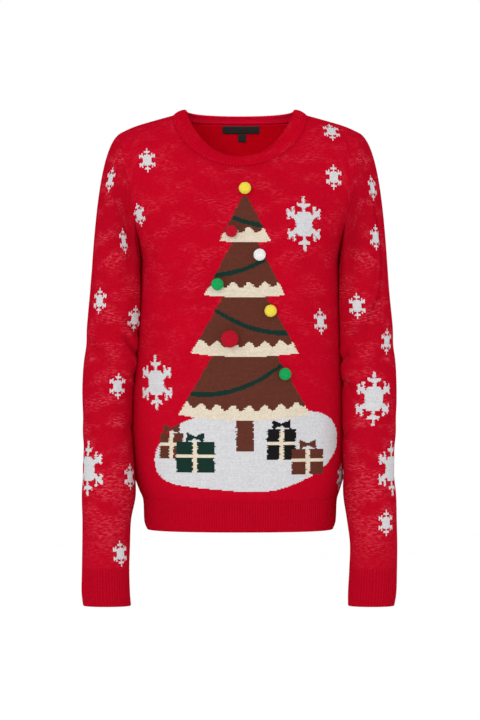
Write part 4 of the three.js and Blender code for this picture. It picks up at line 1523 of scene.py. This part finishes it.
class Nodes:
    """A new material and its nodes."""

    def __init__(self, name: str) -> None:
        """Start a material without nodes.

        Args:
            name: its name.
        """
        self.material = bpy.data.materials.new(name)
        self.material.use_nodes = True
        self.tree = self.material.node_tree
        self.tree.nodes.clear()

    def add(self, kind: str, settings: dict, inputs: dict) -> bpy.types.Node:
        """Add a node.

        Args:
            kind: the node's type.
            settings: its settings by name, set first.
            inputs: the values or links of its sockets, by name or number.

        Returns:
            The node.
        """
        node = self.tree.nodes.new(kind)
        for name, value in settings.items():
            setattr(node, name, value)
        for name, value in inputs.items():
            if isinstance(value, Shade):
                value = value.socket
            if isinstance(value, bpy.types.NodeSocket):
                self.tree.links.new(value, node.inputs[name])
            else:
                node.inputs[name].default_value = value
        return node

    def number(self, socket: bpy.types.NodeSocket) -> Shade:
        """Return a socket as a number for expressions."""
        return Shade(self, socket)

    def parts(self, vector: bpy.types.NodeSocket) -> tuple[Shade, Shade, Shade]:
        """Return a vector's three numbers."""
        node = self.add("ShaderNodeSeparateXYZ", {}, {0: vector})
        return tuple(self.number(socket) for socket in node.outputs)

    def noise(self, vector: bpy.types.NodeSocket, scale: float, detail: float) -> Shade:
        """Return soft noise at a scale."""
        node = self.add("ShaderNodeTexNoise", {}, {"Vector": vector, "Scale": scale, "Detail": detail})
        return self.number(node.outputs[0])

    def place(self) -> bpy.types.NodeSocket:
        """Return the place on the object, in metres."""
        return self.add("ShaderNodeTexCoord", {}, {}).outputs["Object"]

    def cloth_place(self) -> tuple[Shade, Shade]:
        """Return the place in the cloth, across and up, in metres of cloth."""
        return self.parts(self.add("ShaderNodeUVMap", {"uv_map": "cloth"}, {}).outputs[0])[:2]

    def mark(self, name: str) -> bpy.types.Node:
        """Return the node that reads one of the mesh's attributes."""
        return self.add("ShaderNodeAttribute", {"attribute_name": name}, {})

    def chance(self, x: Number, y: Number) -> Shade:
        """Return a number of its own, from 0 to 1, for each pair of numbers."""
        node = self.add("ShaderNodeTexWhiteNoise", {}, {"Vector": self.combine(x, y, 0.0)})
        return self.number(node.outputs["Value"])

    def flecks(self, x: Number, y: Number, z: float, detail: float) -> Shade:
        """Return soft noise at a place that is already scaled."""
        return self.noise(self.combine(x, y, z), 1.0, detail)

    def combine(self, x: Number, y: Number, z: Number) -> bpy.types.NodeSocket:
        """Return three numbers as a vector."""
        return self.add("ShaderNodeCombineXYZ", {}, {0: x, 1: y, 2: z}).outputs[0]

    def mix(self, low: object, high: object, share: Number) -> bpy.types.NodeSocket:
        """Mix two colours.

        Args:
            low: the colour, or its socket, where the share is 0.
            high: the colour, or its socket, where the share is 1.
            share: how much of the second.

        Returns:
            The mixed colour.
        """
        node = self.add("ShaderNodeMix", {"data_type": "RGBA"}, {0: share, 6: low, 7: high})
        return node.outputs[2]

    def cloth(
        self, colour: object, height: Shade, depth: float, roughness: float, sheen: float
    ) -> bpy.types.Material:
        """Finish the material as cloth.

        Args:
            colour: its colour's socket.
            height: its relief, from 0 to about 1.
            depth: how many metres that relief is.
            roughness: how matt it is.
            sheen: how much light its fibres catch at its edges.

        Returns:
            The material.
        """
        bump = self.add("ShaderNodeBump", {}, {"Strength": 0.7, "Distance": depth, "Height": height})
        inputs = {
            "Base Color": colour, "Roughness": roughness, "Normal": bump.outputs[0],
            "Specular IOR Level": 0.0, "Sheen Weight": sheen, "Sheen Roughness": 0.6,
        }
        shader = self.add("ShaderNodeBsdfPrincipled", {}, inputs)
        self.add("ShaderNodeOutputMaterial", {}, {0: shader.outputs[0]})
        return self.material


def tone(colour: tuple[float, float, float], share: float = 1.0) -> tuple[float, float, float, float]:
    """Return a colour made darker or lighter, with its alpha."""
    return (colour[0] * share, colour[1] * share, colour[2] * share, 1.0)


class Yarn(Enum):
    """The yarns' colours. The collar's, the sleeves' and the insides' reds are the one red made lighter or
    darker, as painted light and painted shade.
    """

    RED = (0.487, 0.0016, 0.015)
    # Copies of the red: painted light on the collar, painted shade on the sleeves, painted light on the
    # insides and on the collar's inside
    COLLAR_RED_WITH_PAINTED_LIGHT = (0.53, 0.0012, 0.0145)
    SLEEVE_RED_WITH_PAINTED_SHADE = (0.455, 0.0019, 0.0145)
    INSIDE_RED_WITH_PAINTED_LIGHT = (0.92, 0.001, 0.015)
    BAND_RED_WITH_PAINTED_LIGHT = (0.96, 0.006, 0.042)
    SNOW = (0.65, 0.65, 0.67)
    CREAM = (0.745, 0.65, 0.515)
    BROWN = (0.12, 0.034, 0.022)
    FOREST = (0.011, 0.034, 0.026)
    BLACK = (0.012, 0.011, 0.012)


@dataclass(frozen=True)
class Knit:
    """Fine plain knit, with the motifs that are knitted into it."""

    name: str
    yarn: Yarn
    with_flakes: bool = False
    with_picture: bool = False
    streaks: float = 0.5
    stretched: tuple[float, float] = (0.0, 0.4)
    plain_below: float = -0.48
    fading: float = 4.0
    # How much the points' painted shade darkens the colour
    painted_valley_shade: float = 0.4
    # Painted shade in stripes, for ribs that the mesh leaves out
    ribs: float = 0.0

    @staticmethod
    def flake(nodes: Nodes, each: Shade) -> Shade:
        """Return where the snowflakes are: a solid middle with six forked arms.

        Args:
            nodes: the material's nodes.
            each: a number of each stitch's own, which makes the edges ragged.

        Returns:
            Their mask.
        """
        across, up, per_size = nodes.parts(nodes.mark("flake").outputs["Vector"])
        ragged = (each - 0.5) * 0.06
        x = abs((across + WALE / 2).stitch(WALE) - WALE / 2) * per_size + ragged
        y = abs((up + COURSE / 2).stitch(COURSE) - COURSE / 2) * per_size
        thin = (per_size * WALE * 0.5).above(0.042)
        middle = (x < 0.34) * (y < 0.45) * (x + y * 0.6 < 0.5)
        arm = (x < thin + 0.012) * (y < 1.0)
        leaf = (abs(y - 0.65 - x * 0.3) < 0.06) * (x < 0.23)
        branch = (abs(y - x * 0.72) < 0.1) * (x < 0.62)
        inner = (abs(x - 0.41) < thin) * (abs(y - 0.48) < 0.15)
        outer = (abs(x - 0.6) < thin) * (abs(y - 0.36) < 0.19)
        return middle | arm | leaf | branch | inner | outer

    @staticmethod
    def picture(u: Shade, v: Shade) -> list[tuple[Shade, Yarn]]:
        """Return the front's picture, a biscuit fir tree with icing over presents in the snow.

        Args:
            u: metres of cloth from the middle.
            v: metres of cloth up.

        Returns:
            Masks and their yarns, from the back of the picture to its front.
        """
        x = u - 0.007
        down = -0.12 - v
        wide = abs(x)
        drift = (x * 31 + 0.6).sine() * 0.005 - x * 0.09
        flat, tall = abs((x - 0.006) * (1 / 0.14)), (v + 0.482 + drift) * (1 / 0.054)
        bank = flat * flat * flat + tall * tall < 1.0
        layers = [(bank, Yarn.SNOW), ((wide < 0.0125) * (down > 0.3) * (down < 0.362), Yarn.BROWN)]
        scallop = (x * (2 * math.pi / 0.0225)).sine() * 0.0042
        # Each tier: its top and bottom from the tree's tip, half widths there, and its garland's slope
        for top, bottom, narrow, broad, swag in (
            (0.214, 0.318, 0.038, 0.1, 0.4),
            (0.132, 0.228, 0.024, 0.08, -0.38),
            (0.056, 0.144, 0.012, 0.059, 0.36),
            (0.0, 0.066, 0.003, 0.037, -0.3),
        ):
            sides = (wide - (down - top) * ((broad - narrow) / (bottom - top))) < narrow
            curl = wide * wide * 0.9
            tier = sides * (down > top) * (down + curl < bottom)
            icing = tier * (down + curl + scallop > bottom - 0.017)
            string = abs(down + x * swag + x * x * 3.5 - (top + bottom) / 2 - 0.004) < 0.0034
            layers += [(tier, Yarn.BROWN), (tier * string, Yarn.FOREST), (icing, Yarn.CREAM)]
        # Each present, in the cloth's own coordinates, and its paper
        for left, right, low, high, wrap in (
            (-0.118, -0.082, -0.492, -0.456, Yarn.BROWN),
            (-0.092, -0.036, -0.512, -0.468, Yarn.FOREST),
            (0.038, 0.08, -0.494, -0.45, Yarn.BLACK),
            (0.074, 0.124, -0.514, -0.478, Yarn.BROWN),
        ):
            box = (u > left) * (u < right) * (v > low) * (v < high)
            aside = abs(u - (left + right) / 2)
            ribbon = box * ((aside < 0.0032) | (abs(v - low * 0.45 - high * 0.55) < 0.0024))
            bow = (aside < 0.013) * (abs(v - high - 0.0062) < aside * 0.42 + 0.0016)
            layers += [(box, wrap), (ribbon, Yarn.CREAM), (bow, wrap)]
        return layers

    def make(self) -> bpy.types.Material:
        """Make the material: the stitches with painted shade between them, the yarn's uneven dye and heather,
        the motifs, and painted shade in grooves, in creases and in stripes for ribs.

        Returns:
            The material.
        """
        nodes = Nodes(self.name)
        u, v = nodes.cloth_place()
        place = nodes.place()
        side = abs((u * (1 / WALE)).fraction() - 0.5)
        row = abs((v * (1 / COURSE) - side * 1.5).fraction() - 0.5) * 2
        stitch = (side * (2 * math.pi)).sine() * (1 - row * row * 0.75)
        streak = nodes.flecks(u * 36, v * 420, 0.0, 2.0)
        each = nodes.chance(u.stitch(WALE), v.stitch(COURSE))
        base = self.yarn.value
        # The stitches' relief is painted as shade between them; the soft noise, the streaks and each stitch's
        # own number are the yarn's uneven tone
        shade = stitch * 0.3 + nodes.noise(place, 22.0, 3.0) * 0.35 + streak * 0.35 + each * 0.2
        colour = nodes.mix(tone(base, 0.78), tone(base, 1.16), shade - 0.14)
        pale = (base[0] * 1.5 + 0.06, base[1] + 0.075, base[2] + 0.1)
        colour = nodes.mix(colour, tone(pale), self.heather(nodes, u, v) * self.streaks + each * 0.02)
        motifs: list[tuple[Shade, Yarn]] = []
        if self.with_picture:
            ragged = (nodes.chance(v.stitch(COURSE), 0.0) - 0.5) * 0.0024
            motifs += self.picture(u.stitch(WALE) + ragged, v.stitch(COURSE))
        if self.with_flakes:
            motifs.append((self.flake(nodes, each), Yarn.SNOW))
        # Motif yarns: painted shade between the stitches, and the yarn's uneven tone
        yarn_shade = stitch * 0.3 + each * 0.35 + streak * 0.45
        for mask, yarn in motifs:
            dyed = nodes.mix(tone(yarn.value, 0.66), tone(yarn.value, 1.1), yarn_shade)
            colour = nodes.mix(colour, dyed, mask)
        # Painted shade in stripes, for the grooves of ribs that the mesh leaves out
        if self.ribs:
            wave = (u * (2 * math.pi / RIB_PITCH)).sine() + 1
            colour = nodes.mix(colour, tone(base, 0.5), wave * (self.ribs / 2))
        # Painted shade from the points: the knit is darker between ribs, in creases and just below the
        # neckline
        valley_and_painted_shade = nodes.number(nodes.mark("valley_and_painted_shade").outputs["Fac"])
        colour = nodes.mix(colour, tone(base, 0.4), valley_and_painted_shade * self.painted_valley_shade)
        relief = stitch + nodes.noise(place, 1500.0, 1.0) * 0.5
        return nodes.cloth(colour, relief, 0.00055, 0.95, 0.0)

    def heather(self, nodes: Nodes, u: Shade, v: Shade) -> Shade:
        """Work out where paler fibres show: short dashes along the stitches, in loose clusters.

        Args:
            nodes: the material's nodes.
            u: metres of cloth across.
            v: metres of cloth up.

        Returns:
            How pale the yarn is, from 0 to 1. The clusters crowd below the elbow.
        """
        centre, reach = self.stretched
        band = (u - centre) * (1 / reach)
        crowd = (-0.45 - v).above(0.0) - 0.46
        cluster = ((nodes.flecks(u * 24, v * 42, 0.0, 1.0) + crowd) * 6).between(0.0, 1.0)
        dash = nodes.flecks(u * 130, v.stitch(COURSE) * 730, 3.0, 1.0)
        high = ((v - self.plain_below) * self.fading).between(0.0, 1.0)
        return ((dash - 0.46) * 4).between(0.0, 1.0) * cluster * high * (1 / (band * band + 1))


@dataclass(frozen=True)
class CutYarn:
    """The pompoms' cut yarn."""

    name: str
    colour: tuple[float, float, float]

    def make(self) -> bpy.types.Material:
        """Make the material.

        Returns:
            The material.
        """
        nodes = Nodes(self.name)
        place = nodes.place()
        strands = nodes.noise(place, 900.0, 2.0)
        clumps = nodes.noise(place, 240.0, 1.0)
        colour = nodes.mix(tone(self.colour, 0.72), tone(self.colour, 1.12), strands * 0.6 + clumps * 0.5)
        return nodes.cloth(colour, strands, 0.0003, 1.0, 0.05)


@dataclass(frozen=True)
class Satin:
    """Black woven label satin."""

    name: str

    def make(self) -> bpy.types.Material:
        """Make the material.

        Returns:
            The material.
        """
        nodes = Nodes(self.name)
        u, v = nodes.cloth_place()
        weave = (u * (2 * math.pi / 0.0007)).sine() * (v * (2 * math.pi / 0.0005)).sine() * 0.5 + 0.5
        worn = nodes.noise(nodes.place(), 300.0, 2.0)
        colour = nodes.mix((0.02, 0.024, 0.023, 1), (0.048, 0.058, 0.055, 1), weave * 0.6 + worn * 0.4)
        return nodes.cloth(colour, weave, 0.0001, 0.5, 0.0)


@dataclass
class Studio:
    """The pale floor, the soft light and the camera."""

    floor: float = -1.1
    floor_width: float = 16.0
    centre: tuple[float, float, float] = (0.0, -4.0, -0.3524)
    lens: float = 137.93

    def ground(self) -> None:
        """Make the plain floor, some way below the sweater."""
        bpy.ops.object.select_all(action="DESELECT")
        bpy.ops.mesh.primitive_plane_add(size=self.floor_width)
        floor = bpy.context.active_object
        floor.name = "floor"
        bpy.ops.object.mode_set(mode="EDIT")
        bpy.ops.transform.translate(value=(0, 0, self.floor))
        bpy.ops.object.mode_set(mode="OBJECT")
        nodes = Nodes("pale_floor")
        cloud = nodes.noise(nodes.place(), 2.0, 1.0)
        white = (1.0, 1.0, 1.0)
        colour = nodes.mix(tone(white, 0.99), tone(white, 0.995), cloud)
        floor.data.materials.append(nodes.cloth(colour, cloud, 0.0001, 0.9, 0.0))

    def light(self, name: str, place: tuple[float, float, float], size: float, power: float) -> None:
        """Add one soft light, turned towards the sweater's middle.

        Args:
            name: its name.
            place: where it stands.
            size: its width.
            power: its power in watts.
        """
        data = bpy.data.lights.new(name, "AREA")
        data.size = size
        data.energy = power
        lamp = put_in_scene(name, data)
        lamp.location = place
        aim = np.array([0.0, 0.0, self.centre[2]]) - np.array(place)
        level = math.hypot(aim[0], aim[1])
        lamp.rotation_euler = (math.pi / 2 + math.atan2(aim[2], level), 0, math.atan2(-aim[0], aim[1]))

    def make(self) -> None:
        """Make the floor, the lights and the camera."""
        self.ground()
        scene = bpy.context.scene
        world = bpy.data.worlds.new("soft_white")
        world.use_nodes = True
        sky = world.node_tree.nodes["Background"]
        sky.inputs["Color"].default_value = (1, 1, 1, 1)
        sky.inputs["Strength"].default_value = 1.0
        scene.world = world
        self.light("front", (-0.15, -4.2, 0.0), 0.9, 24)
        self.light("key", (-1.4, -3.5, 0.8), 1.0, 26)
        scene.view_settings.view_transform = "Standard"
        data = bpy.data.cameras.new("camera")
        data.lens = self.lens
        camera = put_in_scene("camera", data)
        camera.location = self.centre
        camera.rotation_euler = (math.pi / 2, 0, 0)
        scene.camera = camera


# How far out each sleeve's two sides lie by height, and how far forward and how deep both are
ARM_COLUMNS = ("right_outer", "right_inner", "left_outer", "left_inner", "forward", "depth")
ARM_ROWS = (
    (-0.265, 0.2175, 0.134, 0.2168, 0.133, 0.012, 0.052),
    (-0.309, 0.2215, 0.137, 0.221, 0.135, 0.017, 0.05),
    (-0.357, 0.2254, 0.141, 0.2244, 0.1375, 0.023, 0.048),
    (-0.389, 0.2269, 0.147, 0.2254, 0.1405, 0.028, 0.0465),
    (-0.422, 0.2269, 0.152, 0.2254, 0.1435, 0.032, 0.045),
    (-0.468, 0.2264, 0.1525, 0.2242, 0.1455, 0.037, 0.043),
    (-0.512, 0.2254, 0.1505, 0.221, 0.1475, 0.041, 0.041),
    (-0.547, 0.2269, 0.1496, 0.224, 0.1481, 0.0435, 0.0395),
    (-0.581, 0.2259, 0.156, 0.2247, 0.1532, 0.0455, 0.0375),
    (-0.616, 0.226, 0.1575, 0.2254, 0.1575, 0.047, 0.0355),
    (-0.652, 0.2265, 0.1585, 0.225, 0.1565, 0.048, 0.031),
    (-0.686, 0.2269, 0.1575, 0.224, 0.1546, 0.049, 0.0285),
    (-0.704, 0.2247, 0.156, 0.221, 0.1546, 0.049, 0.027),
)

# The folds that the sleeves' solids have too, and then each sleeve's creases in its cloth's coordinates
MAIN_ARM_FOLDS = (
    ArmFold(55, -0.352, 0.055, 0.017, 0.003, -0.5),
    ArmFold(120, -0.405, 0.05, 0.016, 0.003, 0.35),
    ArmFold(40, -0.468, 0.045, 0.016, 0.0025, 0.3),
    ArmFold(250, -0.392, 0.055, 0.018, 0.0035, -0.3),
    ArmFold(290, -0.455, 0.05, 0.017, 0.003, 0.3),
)
RIGHT_CREASES = (
    Crease(((0.158, -0.168), (0.157, -0.19), (0.148, -0.212), (0.134, -0.232)), 0.006, 0.0036),
    Crease(((0.125, -0.318), (0.108, -0.31), (0.094, -0.297), (0.08, -0.293)), 0.006, 0.0026),
    Crease(((0.128, -0.352), (0.11, -0.342), (0.097, -0.329), (0.084, -0.31)), 0.0055, 0.003),
    Crease(((0.14, -0.395), (0.118, -0.376), (0.1, -0.372)), 0.007, 0.0024),
    Crease(((0.03, -0.325), (0.043, -0.333), (0.058, -0.342), (0.07, -0.36)), 0.006, 0.0022),
    Crease(((0.13, -0.455), (0.108, -0.45), (0.085, -0.458)), 0.008, 0.0018),
    Crease(((0.012, -0.21), (0.02, -0.25), (0.016, -0.3)), 0.008, 0.0016),
    Crease(((0.02, -0.43), (0.035, -0.46), (0.06, -0.475)), 0.008, 0.0014),
    Crease(((-0.13, -0.34), (-0.1, -0.33), (-0.07, -0.345)), 0.007, 0.003),
    Crease(((-0.14, -0.4), (-0.1, -0.385), (-0.06, -0.395)), 0.007, 0.003),
    Crease(((-0.12, -0.22), (-0.105, -0.25), (-0.09, -0.27)), 0.007, 0.003),
    Crease(((0.06, -0.6), (0.085, -0.612), (0.11, -0.608)), 0.008, 0.0014),
)
LEFT_CREASES = (
    Crease(
        (
            (0.052, -0.085), (0.049, -0.128), (0.0385, -0.166), (0.0365, -0.203), (0.0405, -0.233),
            (0.046, -0.257), (0.055, -0.271), (0.064, -0.284), (0.072, -0.307), (0.077, -0.34),
        ),
        0.0036, 0.0026,
    ),
    Crease(((0.075, -0.3), (0.088, -0.312), (0.106, -0.316)), 0.006, 0.0022),
    Crease(((0.16, -0.2), (0.15, -0.24), (0.135, -0.275), (0.122, -0.3)), 0.006, 0.003),
    Crease(((0.135, -0.352), (0.115, -0.352), (0.092, -0.34)), 0.006, 0.003),
    Crease(((0.135, -0.388), (0.112, -0.385), (0.092, -0.395)), 0.007, 0.0024),
    Crease(((0.14, -0.45), (0.118, -0.46), (0.095, -0.458)), 0.008, 0.0018),
    Crease(((0.015, -0.4), (0.03, -0.43), (0.055, -0.45)), 0.008, 0.0014),
    Crease(((-0.13, -0.33), (-0.1, -0.345), (-0.07, -0.335)), 0.007, 0.003),
    Crease(((-0.14, -0.41), (-0.1, -0.4), (-0.06, -0.385)), 0.007, 0.003),
    Crease(((-0.12, -0.21), (-0.1, -0.245), (-0.085, -0.27)), 0.007, 0.003),
    Crease(((0.05, -0.59), (0.075, -0.602), (0.1, -0.598)), 0.008, 0.0014),
)
SMALL = 0.0185
BIG = 0.039

# Snowflakes in the cloth's own coordinates: across (on a sleeve, from its outer line to the front), up
FRONT_FLAKES = (
    (-0.1342, -0.065, SMALL), (-0.1565, -0.144, SMALL), (0.1345, -0.0147, SMALL),
    (0.1363, -0.0912, SMALL), (0.1219, -0.2976, SMALL), (0.17, -0.52, SMALL),
    (0.0933, -0.1604, BIG), (-0.1254, -0.3842, BIG),
)
BACK_FLAKES = (
    (-0.118, -0.06, SMALL), (0.09, -0.105, SMALL), (-0.04, -0.17, BIG),
    (0.15, -0.2, SMALL), (-0.14, -0.27, SMALL), (0.06, -0.3, SMALL),
    (-0.06, -0.37, SMALL), (0.13, -0.41, BIG), (-0.13, -0.46, SMALL),
    (0.02, -0.48, SMALL),
)
RIGHT_FLAKES = (
    (0.0532, -0.0919, SMALL), (0.0946, -0.1805, SMALL), (0.0478, -0.2682, SMALL),
    (0.1052, -0.2938, SMALL), (0.082, -0.3902, SMALL), (0.0291, -0.5088, BIG),
    (0.0996, -0.522, SMALL), (0.0788, -0.6307, SMALL), (-0.055, -0.13, SMALL),
    (-0.1, -0.215, SMALL), (-0.04, -0.32, SMALL), (-0.1, -0.4, BIG),
    (-0.045, -0.57, SMALL),
)
LEFT_FLAKES = (
    (0.0486, -0.1044, SMALL), (0.0488, -0.177, SMALL), (0.0834, -0.2746, SMALL),
    (0.0377, -0.3259, SMALL), (0.0625, -0.4093, BIG), (0.0241, -0.5088, BIG),
    (0.1275, -0.5215, SMALL), (0.0386, -0.5852, SMALL), (-0.06, -0.15, SMALL),
    (-0.095, -0.24, SMALL), (-0.05, -0.37, SMALL), (-0.1, -0.45, SMALL),
    (-0.06, -0.56, SMALL),
)


def flakes(rows: Sequence[tuple[float, float, float]], lean: float) -> tuple[Flake, ...]:
    """Make a piece's snowflakes.

    Args:
        rows: their places in the cloth and their half heights.
        lean: how far they lean.

    Returns:
        The snowflakes, with their middles on whole stitches.
    """
    made = []
    for u, v, size in rows:
        centre = (round(u / WALE - 0.5) + 0.5) * WALE, (round(v / COURSE - 0.5) + 0.5) * COURSE
        made.append(Flake(*centre, size, lean))
    return tuple(made)


def main() -> None:
    """Make every piece, the finishes and the studio, and report each."""
    logging.basicConfig(level=logging.INFO, format="%(message)s")
    form = BodyForm()
    arms = SmoothTable(ARM_COLUMNS, ARM_ROWS)
    body = Knit("body_knit", Yarn.RED, with_flakes=True, streaks=0.2).make()
    front_knit = Knit(
        "front_knit", Yarn.RED, with_flakes=True, with_picture=True, streaks=0.24, painted_valley_shade=0.45
    ).make()
    arm_knit = Knit(
        "sleeve_knit", Yarn.SLEEVE_RED_WITH_PAINTED_SHADE, with_flakes=True, streaks=0.6, stretched=(0.065, 0.04),
        plain_below=-0.66, fading=12.0, painted_valley_shade=0.45,
    ).make()
    rib = Knit("collar_knit", Yarn.COLLAR_RED_WITH_PAINTED_LIGHT, streaks=0.2, painted_valley_shade=0.3).make()
    inside = Knit("inside_knit", Yarn.INSIDE_RED_WITH_PAINTED_LIGHT, streaks=0.0).make()
    rib_inside = Knit("collar_inside_knit", Yarn.BAND_RED_WITH_PAINTED_LIGHT, streaks=0.0, ribs=0.25).make()
    satin = Satin("label_satin").make()
    wools = {
        "yellow_wool": CutYarn("yellow_yarn", (0.74, 0.62, 0.062)).make(),
        "red_wool": CutYarn("red_yarn", (0.44, 0.003, 0.018)).make(),
        "white_wool": CutYarn("white_yarn", (0.74, 0.735, 0.72)).make(),
        "green_wool": CutYarn("green_yarn", (0.007, 0.33, 0.088)).make(),
    }
    made = [
        Panel(Side.FRONT, form, flakes(FRONT_FLAKES, -0.06)).make(front_knit, inside),
        Panel(Side.BACK, form, flakes(BACK_FLAKES, 0.03)).make(body, inside),
        *(
            Sleeve(side, form, arms, flakes(rows, 0.0), MAIN_ARM_FOLDS, creases).make(arm_knit, inside)
            for side, rows, creases in (
                (Arm.RIGHT, RIGHT_FLAKES, RIGHT_CREASES),
                (Arm.LEFT, LEFT_FLAKES, LEFT_CREASES),
            )
        ),
        Collar(form).make(rib, rib_inside),
        Label("neck_label", form, 0.0015, -0.0062, 0.055, 0.011, 0.001).make(satin),
        Label("size_tab", form, 0.0032, -0.0177, 0.012, 0.0115, 0.0009).make(satin),
    ]
    for seed, (name, x, z, radius, slot) in enumerate(
        (
            ("pompom_yellow_top", 0.007, -0.112, 0.0086, "yellow_wool"),
            ("pompom_red_small", -0.012, -0.172, 0.0086, "red_wool"),
            ("pompom_white", 0.027, -0.205, 0.0086, "white_wool"),
            ("pompom_green_upper", -0.031, -0.246, 0.0086, "green_wool"),
            ("pompom_yellow_lower", 0.042, -0.283, 0.0086, "yellow_wool"),
            ("pompom_red_large", -0.014, -0.322, 0.0124, "red_wool"),
            ("pompom_green_lower", 0.062, -0.372, 0.0086, "green_wool"),
        )
    ):
        made.append(Pompom(name, form, x, z, radius, slot, seed).make(wools[slot]))
    for piece in made:
        log.info("%s: %d faces", piece.name, len(piece.data.polygons))
    Studio().make()


if __name__ == "__main__":
    main()
